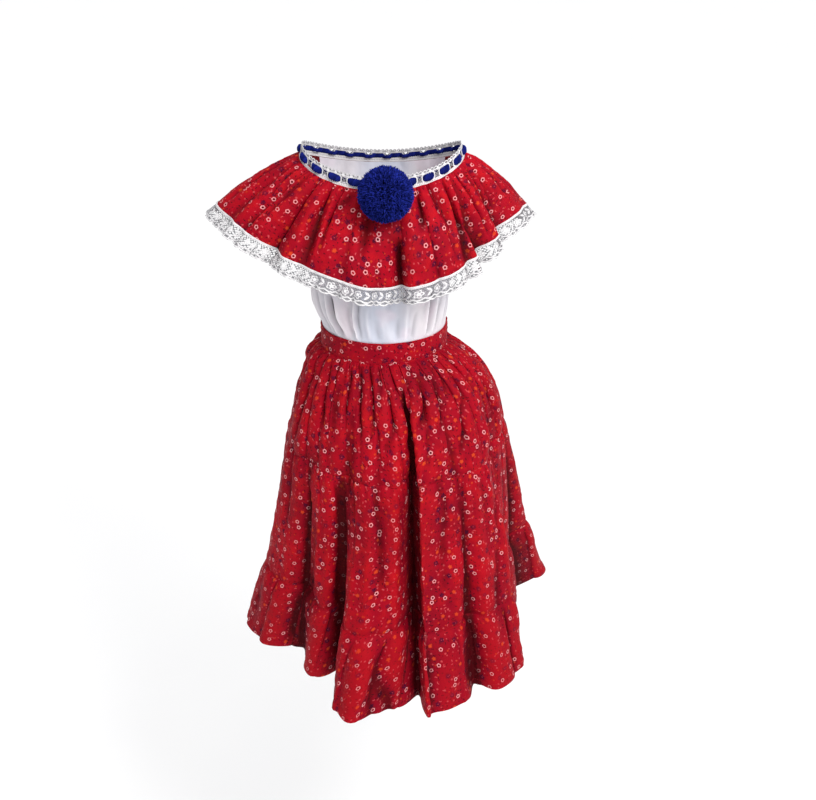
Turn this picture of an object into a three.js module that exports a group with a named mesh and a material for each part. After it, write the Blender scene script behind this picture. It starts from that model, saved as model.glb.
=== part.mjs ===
// A child's folk dress in two pieces, as worn: an off-shoulder blouse with a wide ruffle, edged with lace
// and threaded with wool yarn that carries a pompom, and a gathered skirt in three tiers.
// Millimetres and degrees, +Z up. The origin is the middle of the waist, at half the waistband's height.
// The front faces -Y. A direction round the body is an angle from the front (0) towards +X (90).
import * as THREE from 'three';

// Cloth and seams
const CLOTH = 1.2; // thickness of the cotton, satin and lace walls
const BAND_CLOTH = 2; // thickness of the waistband, folded cotton
const SEAM = 0.3; // clear space between two pieces at their seam
const COLUMNS_PER_GATHER = 3;

// Waistband
const BAND = { halfWidth: 101, halfDepth: 83, halfHeight: 17.5, ruchedHeight: 1.8, ruches: 16 };

// Skirt: sections below the waist. drop is the distance under the origin, shift the section's middle in X.
const SKIRT_SECTIONS = [
  { drop: 17.5, halfWidth: 100.2, halfDepth: 82.2, shift: 0 },
  { drop: 40, halfWidth: 119, halfDepth: 98, shift: 8 },
  { drop: 75, halfWidth: 145, halfDepth: 127, shift: 15 },
  { drop: 130, halfWidth: 171, halfDepth: 154, shift: 20 },
  { drop: 185, halfWidth: 185, halfDepth: 175, shift: 20 },
  { drop: 335, halfWidth: 217, halfDepth: 217, shift: 22 },
  { drop: 430, halfWidth: 236, halfDepth: 243, shift: 22 },
  { drop: 555, halfWidth: 272, halfDepth: 288, shift: 22 },
];
const TIER_SEAM = 185; // drop of the seam between the top and the middle tier
const FLOUNCE_SEAM = 430; // drop of the seam between the middle tier and the flounce
const HEM = 555;
const FLOUNCE_PUFF = { out: 3, below: 25 }; // how far the flounce stands out from there on under its seam

// Skirt: the lines of its large folds, in order round the body. at is a line's direction at the hem and
// atWaist its direction at the waist. The other columns say how far the cloth stands out there from the
// sections above (a valley is negative), at the drops in FOLD_DROPS.
const FOLD_DROPS = { start: 45, high: 130, middle: 330, hem: HEM };
const SKIRT_FOLDS = [
  { at: -176, atWaist: -172, high: -6, middle: -26, hem: -56 },
  { at: -160, atWaist: -160, high: 0, middle: 2, hem: 6 },
  { at: -146, atWaist: -148, high: -8, middle: -24, hem: -44 },
  { at: -134, atWaist: -136, high: 0, middle: 0, hem: 2 },
  { at: -119, atWaist: -122, high: -5, middle: -22, hem: -50 },
  { at: -104, atWaist: -106, high: 0, middle: 0, hem: -22 },
  { at: -91, atWaist: -90, high: -3, middle: -12, hem: -40 },
  { at: -76, atWaist: -74, high: 0, middle: 2, hem: 5 },
  { at: -66, atWaist: -65, high: 0, middle: 0, hem: -8 },
  { at: -50, atWaist: -52, high: -5, middle: -26, hem: -70 },
  { at: -35, atWaist: -38, high: 0, middle: -14, hem: -33 },
  { at: -28, atWaist: -27, high: -9, middle: -36, hem: -76 },
  { at: -19, atWaist: -18, high: 0, middle: 4, hem: 10 },
  { at: -14, atWaist: -11, high: 0, middle: 3, hem: 28 },
  { at: -8, atWaist: -5, high: 0, middle: 1, hem: 0 },
  { at: -3, atWaist: 0, high: 0, middle: 1, hem: -10 },
  { at: 3.5, atWaist: 8, high: -27, middle: -76, hem: -42 },
  { at: 11, atWaist: 17, high: 0, middle: 4, hem: 8 },
  { at: 22, atWaist: 27, high: 0, middle: 3, hem: -2 },
  { at: 29, atWaist: 35, high: -5, middle: -12, hem: -32 },
  { at: 37, atWaist: 44, high: 0, middle: 4, hem: 6 },
  { at: 49, atWaist: 60, high: 0, middle: 4, hem: -3 },
  { at: 58, atWaist: 70, high: -16, middle: -42, hem: -74 },
  { at: 96, atWaist: 90, high: -4, middle: -24, hem: -60 },
  { at: 107, atWaist: 99, high: 0, middle: 5, hem: 11 },
  { at: 119, atWaist: 112, high: 0, middle: 2, hem: 2 },
  { at: 130, atWaist: 126, high: -6, middle: -26, hem: -54 },
  { at: 148, atWaist: 146, high: 0, middle: 2, hem: 5 },
  { at: 165, atWaist: 166, high: -7, middle: -22, hem: -48 },
  { at: 174, atWaist: 178, high: 0, middle: -4, hem: -18 },
];

// Skirt: a small pouch of cloth under the waistband at the wearer's right
const POUCH = { at: -95, spread: 32, drop: 36, depth: 20, out: 9 };

// Gathers: how high their crests stand, by the distance under the seam that gathers them
const TOP_TIER_GATHERS = {
  count: 38,
  crests: [
    { below: 0, height: 2.6 },
    { below: 25, height: 7 },
    { below: 85, height: 5.5 },
    { below: 168, height: 1.4 },
  ],
};
const MIDDLE_TIER_GATHERS = {
  count: 36,
  crests: [
    { below: 0, height: 1 },
    { below: 30, height: 3.4 },
    { below: 90, height: 1.6 },
    { below: 250, height: 1 },
  ],
};
const FLOUNCE_GATHERS = {
  count: 36,
  crests: [
    { below: 0, height: 1 },
    { below: 28, height: 6 },
    { below: 75, height: 5 },
    { below: 125, height: 4 },
  ],
};
const RUFFLE_GATHERS = {
  count: 28,
  crests: [
    { below: 0, height: 1.2 },
    { below: 25, height: 4.5 },
    { below: 75, height: 3.5 },
    { below: 150, height: 2 },
  ],
};
const LACE_GATHERS = {
  count: 44,
  crests: [
    { below: 0, height: 0 },
    { below: 12, height: 2.2 },
    { below: 24, height: 4 },
  ],
};

// Skirt: rows of the grid, as drops
const TOP_TIER_ROWS = [BAND.halfHeight + SEAM, 42, 78, 130, TIER_SEAM - SEAM / 2];
const MIDDLE_TIER_ROWS = [TIER_SEAM + SEAM / 2, 222, 290, 360, FLOUNCE_SEAM - SEAM / 2];
const FLOUNCE_ROWS = [FLOUNCE_SEAM + SEAM / 2, 458, 505, HEM];

// Neckline: an ellipse that rests on the upper arms and dips at the front and the back
const NECK = { halfWidth: 122, halfDepth: 80, height: 290, frontDip: 28, backDip: 36, dipPower: 1.5 };

// Ruffle: how steeply it falls, in degrees under the level, where it starts and at its hem, and how far its
// hem lies along the cloth, which is less where the cloth is taken up in its folds
const RUFFLE_LENGTH = 145;
const RUFFLE_ROWS = [0, 0.2, 0.46, 0.73, 1]; // shares of its length
const RUFFLE_CLEARANCE = 0.4; // from the neck lace to the ruffle's gathered edge
const RUFFLE_SLOPES = [
  { at: -180, start: 38, end: 76, length: 142 },
  { at: -130, start: 30, end: 64, length: 144 },
  { at: -108, start: 24, end: 50, length: 148 },
  { at: -90, start: 20, end: 45, length: 150 },
  { at: -70, start: 22, end: 52, length: 135 },
  { at: -45, start: 32, end: 65, length: 130 },
  { at: -20, start: 41, end: 78, length: 132 },
  { at: 0, start: 45, end: 82, length: 144 },
  { at: 15, start: 44, end: 81, length: 141 },
  { at: 38, start: 42, end: 78, length: 128 },
  { at: 58, start: 40, end: 75, length: 120 },
  { at: 75, start: 34, end: 69, length: 117 },
  { at: 92, start: 28, end: 61, length: 125 },
  { at: 108, start: 27, end: 58, length: 142 },
  { at: 130, start: 30, end: 64, length: 146 },
  { at: 180, start: 38, end: 76, length: 142 },
];
// Ruffle: the lines of its large folds, as in SKIRT_FOLDS. atNeck is a line's direction at the neckline.
const RUFFLE_FOLDS = [
  { at: -165, atNeck: -168, middle: 0, hem: 2 },
  { at: -148, atNeck: -152, middle: -9, hem: -18 },
  { at: -128, atNeck: -132, middle: 0, hem: 2 },
  { at: -112, atNeck: -110, middle: -7, hem: -14 },
  { at: -92, atNeck: -88, middle: 1, hem: 3 },
  { at: -77, atNeck: -62, middle: -3, hem: -5 },
  { at: -62, atNeck: -48, middle: 1, hem: 2 },
  { at: -46, atNeck: -30, middle: -12, hem: -20 },
  { at: -34, atNeck: -22, middle: 1, hem: 3 },
  { at: -8, atNeck: -4, middle: 1, hem: 2 },
  { at: 4, atNeck: 6, middle: -5, hem: -14 },
  { at: 12, atNeck: 12, middle: 1, hem: 3 },
  { at: 38, atNeck: 26, middle: 2, hem: 5 },
  { at: 46, atNeck: 32, middle: -10, hem: -18 },
  { at: 58, atNeck: 44, middle: 0, hem: 3 },
  { at: 67, atNeck: 58, middle: -8, hem: -16 },
  { at: 86, atNeck: 76, middle: 1, hem: 2 },
  { at: 102, atNeck: 98, middle: 1, hem: 3 },
  { at: 116, atNeck: 114, middle: -8, hem: -16 },
  { at: 136, atNeck: 136, middle: 0, hem: 3 },
  { at: 156, atNeck: 158, middle: -10, hem: -20 },
  { at: 176, atNeck: 176, middle: 0, hem: 2 },
];

// Lace at the ruffle's hem
const LACE_WIDTH = 24;
const LACE_SEAM = 0.8; // clear space between the ruffle's hem and its lace
const LACE_SCALLOP = 1.2; // how far the free edge's scallops reach past its width

// Bodice: sections by their rise over the origin. Over the armhole's foot the panels narrow to the neckline.
const BODICE_SECTIONS = [
  { rise: -70, halfWidth: 97.6, halfDepth: 79.6, shift: 0 },
  { rise: -17.5, halfWidth: 98.6, halfDepth: 80.6, shift: 0 },
  { rise: 17.5, halfWidth: 98.6, halfDepth: 80.6, shift: 0 },
  { rise: 60, halfWidth: 107, halfDepth: 84, shift: -5 },
  { rise: 115, halfWidth: 110, halfDepth: 86, shift: -4 },
  { rise: 170, halfWidth: 110, halfDepth: 86, shift: -1 },
  { rise: 225, halfWidth: 115, halfDepth: 83, shift: 0 },
  { rise: 260, halfWidth: NECK.halfWidth, halfDepth: NECK.halfDepth, shift: 0 },
];
const BODICE_ROWS = [260, 228, 195, 177, 170, 115, 60, 17.5, -17.5, -70];
const BODICE_COLUMNS = 20;
const BODICE_TOP_GAP = 2.7; // from the neckline's ring down to the bodice's top edge
const ARMHOLE = { foot: 170, halfAngle: 52 }; // the panels' half angle at the neckline
// Bodice: upright folds in the satin, where it is tucked into the skirt. They rise over the waistband and
// run out again under the ruffle.
const BODICE_FOLD_FOOT = { start: BAND.halfHeight, full: 57.5 };
const BODICE_FOLD_HEAD = { full: 110, end: 230 };
const BODICE_FOLDS = [
  { at: -58, width: 9, out: 2.6 },
  { at: -34, width: 7, out: 3 },
  { at: 33, width: 9, out: 2.8 },
  { at: 62, width: 8, out: 2 },
  { at: 128, width: 10, out: 2.6 },
  { at: 160, width: 9, out: 2.2 },
  { at: -150, width: 9, out: 2.6 },
  { at: -118, width: 10, out: 2.2 },
];

// Neck lace: a band that stands on the neckline and leans in, with a slot for each stitch of the yarn
const NECK_LACE = { under: 2, top: 20, lean: 14, slotFoot: 4.5, slotHead: 13.5, scallop: 2.5 };
// Stitches: their places along the neckline from the front's middle, as start + pitch k + easing k k, from
// the one just right of the pompom round the back to the one just left of it
const STITCHES = { start: 70.9, pitch: 27.8, easing: 0.097, first: -1, last: 18, slotShare: 0.34 };
const NECK_LACE_SEAMS = { right: 3.5, left: 14.5 }; // side seams, in stitches, at the middle of a bar
const LACE_BEHIND_POMPOM = [-6, 10]; // the lace's columns there, along the neckline

// Yarn: its sections over one stitch, in the neck lace's own directions. along is a share of the slot's
// half length, out the section's middle over the lace's face, thick and tall its half sizes.
const YARN_STITCH = [
  { along: -0.97, out: -3.5, thick: 1.8, tall: 3 },
  { along: -0.5, out: 1.3, thick: 2.7, tall: 4.4 },
  { along: 0, out: 2, thick: 3.3, tall: 5.2 },
  { along: 0.5, out: 1.3, thick: 2.7, tall: 4.4 },
  { along: 0.97, out: -3.5, thick: 1.8, tall: 3 },
];
const YARN_SIDES = 6;
const YARN_HEIGHT = (NECK_LACE.slotFoot + NECK_LACE.slotHead) / 2;
// The yarn's two ends at the pompom: their places along the neckline, and their section as in YARN_STITCH
const YARN_ENDS = { left: -24, right: 40, section: { out: 4.4, thick: 2.6, tall: 4 } };

// Pompom: locks of wool on a small core, flattened where they press on the ruffle. lockShare is a lock's
// width against its face of the core, and detail says how often the core's faces are halved.
const POMPOM = { x: 7.5, y: -121, z: 272, core: 21, radius: 40, lengthSpread: 2, lockShare: 0.8, detail: 2 };
const POMPOM_SEAT = { tilt: 42, distance: 33.8 }; // the ruffle's slope behind it, and how far off it lies

// Colours
const COLOURS = { cotton: '#b5121e', satin: '#e6e6ec', lace: '#f4f2ee', wool: '#10239a' };

const { degToRad, radToDeg, clamp, euclideanModulo, inverseLerp, smoothstep } = THREE.MathUtils;
const FULL_TURN = 360;

// A value of a table's column, on a smooth curve through its rows
function curveThrough(rows, key, x, column) {
  let i = 0;
  while (i < rows.length - 2 && x > rows[i + 1][key]) i += 1;
  const slopeAt = (k) => {
    const before = rows[Math.max(k - 1, 0)];
    const after = rows[Math.min(k + 1, rows.length - 1)];
    return (after[column] - before[column]) / (after[key] - before[key]);
  };
  const span = rows[i + 1][key] - rows[i][key];
  const t = clamp((x - rows[i][key]) / span, 0, 1);
  const ease = t * t * (3 - 2 * t);
  const start = t * (1 - t) * (1 - t) * span * slopeAt(i);
  const end = t * t * (t - 1) * span * slopeAt(i + 1);
  return rows[i][column] * (1 - ease) + rows[i + 1][column] * ease + start + end;
}

// How far the cloth stands out at an angle, between the lines of a table of folds. lineAngle and lineOut
// give a line's direction and its height there.
function foldBetween(folds, angle, lineAngle, lineOut) {
  const turned = (fold, turns) => lineAngle(fold) + turns * FULL_TURN;
  for (let i = 0; i < folds.length; i += 1) {
    const next = (i + 1) % folds.length;
    const from = turned(folds[i], 0);
    const to = turned(folds[next], next === 0 ? 1 : 0);
    for (const a of [angle, angle + FULL_TURN, angle - FULL_TURN]) {
      if (a >= from && a < to) {
        const t = smoothstep(a, from, to);
        return lineOut(folds[i]) * (1 - t) + lineOut(folds[next]) * t;
      }
    }
  }
  return 0;
}

// An uneven but fixed number between -1 and 1 for the k-th of a row of gathers
const uneven = (k) => Math.sin(k * 2.4 + 0.7) * 0.6 + Math.sin(k * 5.3) * 0.4;

// The edges of a panel's gathers, as shares of its width
function gatherEdges(count) {
  const widths = Array.from({ length: count }, (_, k) => 1 + 0.28 * uneven(k + 11));
  const total = widths.reduce((sum, width) => sum + width, 0);
  let sum = 0;
  const edges = [0];
  for (const width of widths) {
    sum += width;
    edges.push(sum / total);
  }
  return edges;
}

// The columns of a gathered panel: each has its share of the panel's width and its place in a gather
function gatheredColumns(count) {
  const edges = gatherEdges(count);
  const columns = [];
  for (let j = 0; j <= count * COLUMNS_PER_GATHER; j += 1) {
    const k = Math.min(Math.floor(j / COLUMNS_PER_GATHER), count - 1);
    const phase = j / COLUMNS_PER_GATHER - k;
    columns.push({ share: edges[k] + (edges[k + 1] - edges[k]) * phase, gather: k, phase });
  }
  return columns;
}

// How far a gather's crest stands out at a column
function crest(gathers, column, below) {
  const height = curveThrough(gathers.crests, 'below', below, 'height');
  const own = 1 + 0.4 * uneven(column.gather * 3 + 2);
  return height * own * (1 - Math.cos(2 * Math.PI * column.phase)) / 2;
}

// The angles at given shares of a curve's length, between two angles
function anglesByLength(curve, from, to, shares) {
  const steps = 240;
  const lengths = [0];
  let last = curve(from);
  for (let i = 1; i <= steps; i += 1) {
    const point = curve(from + ((to - from) * i) / steps);
    lengths.push(lengths[i - 1] + point.distanceTo(last));
    last = point;
  }
  let i = 0;
  return shares.map((share) => {
    const wanted = share * lengths[steps];
    while (i < steps - 1 && lengths[i + 1] < wanted) i += 1;
    const within = clamp((wanted - lengths[i]) / (lengths[i + 1] - lengths[i]), 0, 1);
    return from + ((to - from) * (i + within)) / steps;
  });
}

// The two halves of a garment piece, between its side seams
const HALVES = [
  { name: 'front', from: -90, to: 90 },
  { name: 'back', from: 90, to: 270 },
];

// Moves a side seam's points back by half the seam's gap
function openSeam(point, half) {
  const away = half.name === 'front' ? -1 : 1;
  return point.clone().add(new THREE.Vector3(0, (away * SEAM) / 2, 0));
}

// The inner face of a wall: every point of its outer face moved in by the thickness. inwardAt(i, j, sides)
// gives a point's way in from the two directions along its surface.
function innerFace(outer, thickness, inwardAt) {
  const rows = outer.length;
  const columns = outer[0].length;
  return outer.map((row, i) => row.map((point, j) => {
    const down = outer[Math.min(i + 1, rows - 1)][j].clone().sub(outer[Math.max(i - 1, 0)][j]);
    const across = row[Math.min(j + 1, columns - 1)].clone().sub(row[Math.max(j - 1, 0)]);
    return point.clone().addScaledVector(inwardAt(i, j, { down, across }), thickness);
  }));
}

// The inward direction across a wall whose grid runs down and, seen from outside, to the right
const inwardOf = ({ down, across }) => across.clone().cross(down).normalize();

// The direction across a side seam, the same for the pieces on both sides of it
function seamAcross(half, j) {
  const right = (half.name === 'front') === (j > 0);
  return new THREE.Vector3(0, right ? 1 : -1, 0);
}

const levelled = (direction) => direction.setZ(0).normalize();

// A closed wall between an outer and an inner grid. kept(i, j) says which cells have cloth.
function wall(outer, inner, kept = () => true) {
  const rows = outer.length - 1;
  const columns = outer[0].length - 1;
  const points = [...outer.flat(), ...inner.flat()];
  const outside = (i, j) => i * (columns + 1) + j;
  const inside = (i, j) => outside(i, j) + outer.flat().length;
  const faces = [];
  const quad = (a, b, c, d) => faces.push(a, b, c, a, c, d);
  const rim = (i, j, iTo, jTo) => {
    quad(outside(i, j), inside(i, j), inside(iTo, jTo), outside(iTo, jTo));
  };
  const cell = (i, j) => i >= 0 && j >= 0 && i < rows && j < columns && kept(i, j);
  for (let i = 0; i < rows; i += 1) {
    for (let j = 0; j < columns; j += 1) {
      if (!cell(i, j)) continue;
      quad(outside(i, j), outside(i + 1, j), outside(i + 1, j + 1), outside(i, j + 1));
      quad(inside(i, j), inside(i, j + 1), inside(i + 1, j + 1), inside(i + 1, j));
      if (!cell(i - 1, j)) rim(i, j + 1, i, j);
      if (!cell(i + 1, j)) rim(i + 1, j, i + 1, j + 1);
      if (!cell(i, j - 1)) rim(i, j, i + 1, j);
      if (!cell(i, j + 1)) rim(i + 1, j + 1, i, j + 1);
    }
  }
  return solid(points, faces);
}

// A geometry from points and triangles, without the points that no triangle uses
function solid(points, faces) {
  const numbers = new Map();
  const positions = [];
  const index = faces.map((face) => {
    if (!numbers.has(face)) {
      numbers.set(face, numbers.size);
      positions.push(...points[face].toArray());
    }
    return numbers.get(face);
  });
  const geometry = new THREE.BufferGeometry();
  geometry.setAttribute('position', new THREE.Float32BufferAttribute(positions, 3));
  geometry.setIndex(index);
  geometry.computeVertexNormals();
  return geometry;
}

// A tube through rings of points, closed at both ends
function tube(rings) {
  const sides = rings[0].length;
  const faces = [];
  for (let i = 0; i < rings.length - 1; i += 1) {
    for (let k = 0; k < sides; k += 1) {
      const a = i * sides + k;
      const b = i * sides + ((k + 1) % sides);
      faces.push(a, a + sides, b + sides, a, b + sides, b);
    }
  }
  const lastRing = (rings.length - 1) * sides;
  for (let k = 1; k < sides - 1; k += 1) {
    faces.push(0, k, k + 1);
    faces.push(lastRing, lastRing + k + 1, lastRing + k);
  }
  return solid(rings.flat(), faces);
}

const materials = {
  cotton: { color: COLOURS.cotton, roughness: 0.8, metalness: 0 },
  satin: { color: COLOURS.satin, roughness: 0.45, metalness: 0 },
  lace: { color: COLOURS.lace, roughness: 0.75, metalness: 0 },
  wool: { color: COLOURS.wool, roughness: 0.95, metalness: 0 },
};

function piece(name, geometry, cloth) {
  const mesh = new THREE.Mesh(geometry, new THREE.MeshStandardMaterial(materials[cloth]));
  mesh.name = name;
  return mesh;
}

// A point of an upright ellipse ring, from its half sizes and an ellipse angle
function ringPoint(halfWidth, halfDepth, angle, z) {
  const a = degToRad(angle);
  return new THREE.Vector3(halfWidth * Math.sin(a), -halfDepth * Math.cos(a), z);
}

// The waistband's two halves: plain at the front, ruched on elastic at the back
function waistband(half) {
  const ruches = half.name === 'back' ? BAND.ruches : 0;
  const columns = 2 * BAND.ruches;
  const row = (z) => Array.from({ length: columns + 1 }, (_, j) => {
    const angle = half.from + ((half.to - half.from) * j) / columns;
    const out = ruches > 0 && j % 2 === 1 ? BAND.ruchedHeight : 0;
    const point = ringPoint(BAND.halfWidth + out, BAND.halfDepth + out, angle, z);
    return j === 0 || j === columns ? openSeam(point, half) : point;
  });
  const outer = [row(BAND.halfHeight), row(-BAND.halfHeight)];
  const inwardAt = (i, j, sides) => {
    if (j === 0 || j === columns) sides.across = seamAcross(half, j);
    return levelled(inwardOf(sides));
  };
  return wall(outer, innerFace(outer, BAND_CLOTH, inwardAt));
}

// The skirt's surface without its gathers
function skirtFold(angle, drop) {
  const share = clamp(drop / HEM, 0, 1);
  const outRows = (fold) => [
    { drop: FOLD_DROPS.start, out: 0 },
    { drop: FOLD_DROPS.high, out: fold.high },
    { drop: FOLD_DROPS.middle, out: fold.middle },
    { drop: FOLD_DROPS.hem, out: fold.hem },
  ];
  const lineAngle = (fold) => fold.atWaist + (fold.at - fold.atWaist) * share;
  const lineOut = (fold) => curveThrough(outRows(fold), 'drop', drop, 'out');
  return foldBetween(SKIRT_FOLDS, angle, lineAngle, lineOut);
}

function pouch(angle, drop) {
  const turn = euclideanModulo(angle - POUCH.at + 180, FULL_TURN) - 180;
  const round = Math.max(0, 1 - (turn / POUCH.spread) ** 2);
  const up = Math.max(0, 1 - ((drop - POUCH.drop) / POUCH.depth) ** 2);
  return POUCH.out * round * up;
}

function skirtPoint(angle, drop) {
  const a = degToRad(angle);
  const size = (column) => curveThrough(SKIRT_SECTIONS, 'drop', drop, column);
  const plain = 1 / Math.hypot(Math.sin(a) / size('halfWidth'), Math.cos(a) / size('halfDepth'));
  const puff = FLOUNCE_PUFF.out * clamp((drop - FLOUNCE_SEAM) / FLOUNCE_PUFF.below, 0, 1);
  const radius = plain + skirtFold(angle, drop) + pouch(angle, drop) + puff;
  return new THREE.Vector3(size('shift') + radius * Math.sin(a), -radius * Math.cos(a), -drop);
}

// The level direction out of the skirt's surface
function skirtOut(angle, drop) {
  const step = 0.5;
  const along = skirtPoint(angle + step, drop).sub(skirtPoint(angle - step, drop));
  return new THREE.Vector3(along.y, -along.x, 0).normalize();
}

// A half of one of the skirt's tiers
function tier(half, drops, seamDrop, gathers) {
  const columns = gatheredColumns(gathers.count / 2);
  const shares = columns.map((column) => column.share);
  const last = columns.length - 1;
  const outer = drops.map((drop) => {
    const angles = anglesByLength((angle) => skirtPoint(angle, drop), half.from, half.to, shares);
    return columns.map((column, j) => {
      const point = skirtPoint(angles[j], drop);
      point.addScaledVector(skirtOut(angles[j], drop), crest(gathers, column, drop - seamDrop));
      return j === 0 || j === last ? openSeam(point.setY(0), half) : point;
    });
  });
  const inwardAt = (i, j, sides) => {
    if (j === 0 || j === last) sides.across = seamAcross(half, j);
    const inward = inwardOf(sides);
    return i === 0 || i === drops.length - 1 ? levelled(inward) : inward;
  };
  return wall(outer, innerFace(outer, CLOTH, inwardAt));
}

// The neckline, by an ellipse angle
function neckPoint(angle) {
  const forward = Math.cos(degToRad(angle));
  const deepest = forward > 0 ? NECK.frontDip : NECK.backDip;
  const dip = deepest * Math.abs(forward) ** NECK.dipPower;
  return ringPoint(NECK.halfWidth, NECK.halfDepth, angle, NECK.height - dip);
}

// The ellipse angle at which the neckline faces a direction, and the other way round
function neckAngle(direction) {
  const a = degToRad(direction);
  const turn = Math.round(direction / FULL_TURN) * FULL_TURN;
  return radToDeg(Math.atan2(NECK.halfWidth * Math.sin(a), NECK.halfDepth * Math.cos(a))) + turn;
}

function neckDirection(angle) {
  const a = degToRad(angle);
  return radToDeg(Math.atan2(NECK.halfDepth * Math.sin(a), NECK.halfWidth * Math.cos(a)));
}

const levelOut = (direction) => ringPoint(1, 1, direction, 0);

// The slope, reach and fall of the ruffle and its lace, from a direction and a share of the ruffle's length
function ruffleFrame(direction, share) {
  const turned = euclideanModulo(direction + 180, FULL_TURN) - 180;
  const value = (column) => curveThrough(RUFFLE_SLOPES, 'at', turned, column);
  const start = degToRad(value('start'));
  const end = degToRad(value('end'));
  const length = value('length');
  const slope = start + (end - start) * Math.min(share, 1);
  const bend = length / (end - start);
  const past = (share - Math.min(share, 1)) * RUFFLE_LENGTH;
  const reach = bend * (Math.sin(slope) - Math.sin(start)) + past * Math.cos(slope);
  const fall = bend * (Math.cos(start) - Math.cos(slope)) + past * Math.sin(slope);
  return { slope, reach, fall };
}

function ruffleFold(direction, share) {
  const onCloth = clamp(share, 0, 1);
  const outRows = (fold) => [
    { share: 0, out: 0 },
    { share: 0.5, out: fold.middle },
    { share: 1, out: fold.hem },
  ];
  const lineAngle = (fold) => fold.atNeck + (fold.at - fold.atNeck) * onCloth;
  const lineOut = (fold) => curveThrough(outRows(fold), 'share', onCloth, 'out');
  return foldBetween(RUFFLE_FOLDS, direction, lineAngle, lineOut);
}

// A point of the ruffle or its lace. out lifts it off the surface.
function rufflePoint(direction, share, out = 0) {
  const { slope, reach, fall } = ruffleFrame(direction, share);
  const lift = ruffleFold(direction, share) + out;
  const level = levelOut(direction);
  const point = neckPoint(neckAngle(direction)).addScaledVector(level, RUFFLE_CLEARANCE + reach);
  point.addScaledVector(level, lift * Math.sin(slope));
  point.z += lift * Math.cos(slope) - fall;
  return point;
}

function ruffleGrid(half, rows, columns, lift) {
  const shares = columns.map((column) => column.share);
  const last = columns.length - 1;
  return rows.map((row) => {
    const angles = anglesByLength((angle) => rufflePoint(angle, row), half.from, half.to, shares);
    return columns.map((column, j) => {
      const point = rufflePoint(angles[j], row, lift(column, row));
      return j === 0 || j === last ? openSeam(point.setY(0), half) : point;
    });
  });
}

function ruffle(half) {
  const columns = gatheredColumns(RUFFLE_GATHERS.count / 2);
  const last = columns.length - 1;
  const lift = (column, share) => crest(RUFFLE_GATHERS, column, share * RUFFLE_LENGTH);
  const outer = ruffleGrid(half, RUFFLE_ROWS, columns, lift);
  const inwardAt = (i, j, sides) => {
    if (i === 0) return new THREE.Vector3(0, 0, -1);
    if (j === 0 || j === last) sides.across = seamAcross(half, j);
    return inwardOf(sides);
  };
  return wall(outer, innerFace(outer, CLOTH, inwardAt));
}

// The gathered cotton's crest at any share of a half's width, for the lace that is sewn to it
function ruffleCrestAt(share) {
  const count = RUFFLE_GATHERS.count / 2;
  const edges = gatherEdges(count);
  const k = Math.min(edges.findLastIndex((edge) => edge <= share), count - 1);
  const phase = (share - edges[k]) / (edges[k + 1] - edges[k]);
  return crest(RUFFLE_GATHERS, { gather: k, phase }, RUFFLE_LENGTH);
}

function ruffleLace(half) {
  const columns = gatheredColumns(LACE_GATHERS.count / 2);
  const last = columns.length - 1;
  const rows = [1 + LACE_SEAM / RUFFLE_LENGTH, 1 + LACE_WIDTH / RUFFLE_LENGTH];
  const lift = (column, share) => {
    const below = (share - rows[0]) * RUFFLE_LENGTH;
    return ruffleCrestAt(column.share) + crest(LACE_GATHERS, column, below);
  };
  const outer = ruffleGrid(half, rows, columns, lift);
  const fall = outer[1].map((point, j) => point.clone().sub(outer[0][j]).normalize());
  outer[1].forEach((point, j) => {
    if (j > 0 && j < last) point.addScaledVector(fall[j], LACE_SCALLOP * (j % 2 === 0 ? 1 : -1));
  });
  const inwardAt = (i, j, sides) => {
    if (j === 0 || j === last) sides.across = seamAcross(half, j);
    return inwardOf(sides);
  };
  return wall(outer, innerFace(outer, CLOTH, inwardAt));
}

// The bodice's panels: half a tube up to the armhole's foot, and above it narrower up to the neckline
function bodiceHalfAngle(rise) {
  if (rise <= ARMHOLE.foot) return 90;
  const top = BODICE_SECTIONS[BODICE_SECTIONS.length - 1].rise;
  const share = (rise - ARMHOLE.foot) / (top - ARMHOLE.foot);
  return 90 - (90 - ARMHOLE.halfAngle) * Math.sqrt(1 - (1 - share) ** 2);
}

function bodiceFold(angle, rise) {
  const foot = clamp(inverseLerp(BODICE_FOLD_FOOT.start, BODICE_FOLD_FOOT.full, rise), 0, 1);
  const head = clamp(inverseLerp(BODICE_FOLD_HEAD.end, BODICE_FOLD_HEAD.full, rise), 0, 1);
  return BODICE_FOLDS.reduce((sum, fold) => {
    const turn = euclideanModulo(angle - fold.at + 180, FULL_TURN) - 180;
    return sum + fold.out * foot * head * Math.exp(-((turn / fold.width) ** 2));
  }, 0);
}

function bodicePoint(angle, rise) {
  const size = (column) => curveThrough(BODICE_SECTIONS, 'rise', rise, column);
  const top = BODICE_SECTIONS[BODICE_SECTIONS.length - 1].rise;
  const bottom = BODICE_SECTIONS[0].rise;
  const topHere = neckPoint(angle).z - BODICE_TOP_GAP;
  const z = rise <= ARMHOLE.foot ? rise
    : ARMHOLE.foot + ((rise - ARMHOLE.foot) * (topHere - ARMHOLE.foot)) / (top - ARMHOLE.foot);
  const out = rise > bottom ? bodiceFold(angle, rise) : 0;
  const point = ringPoint(size('halfWidth') + out, size('halfDepth') + out, angle, z);
  return point.setX(point.x + size('shift'));
}

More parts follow.
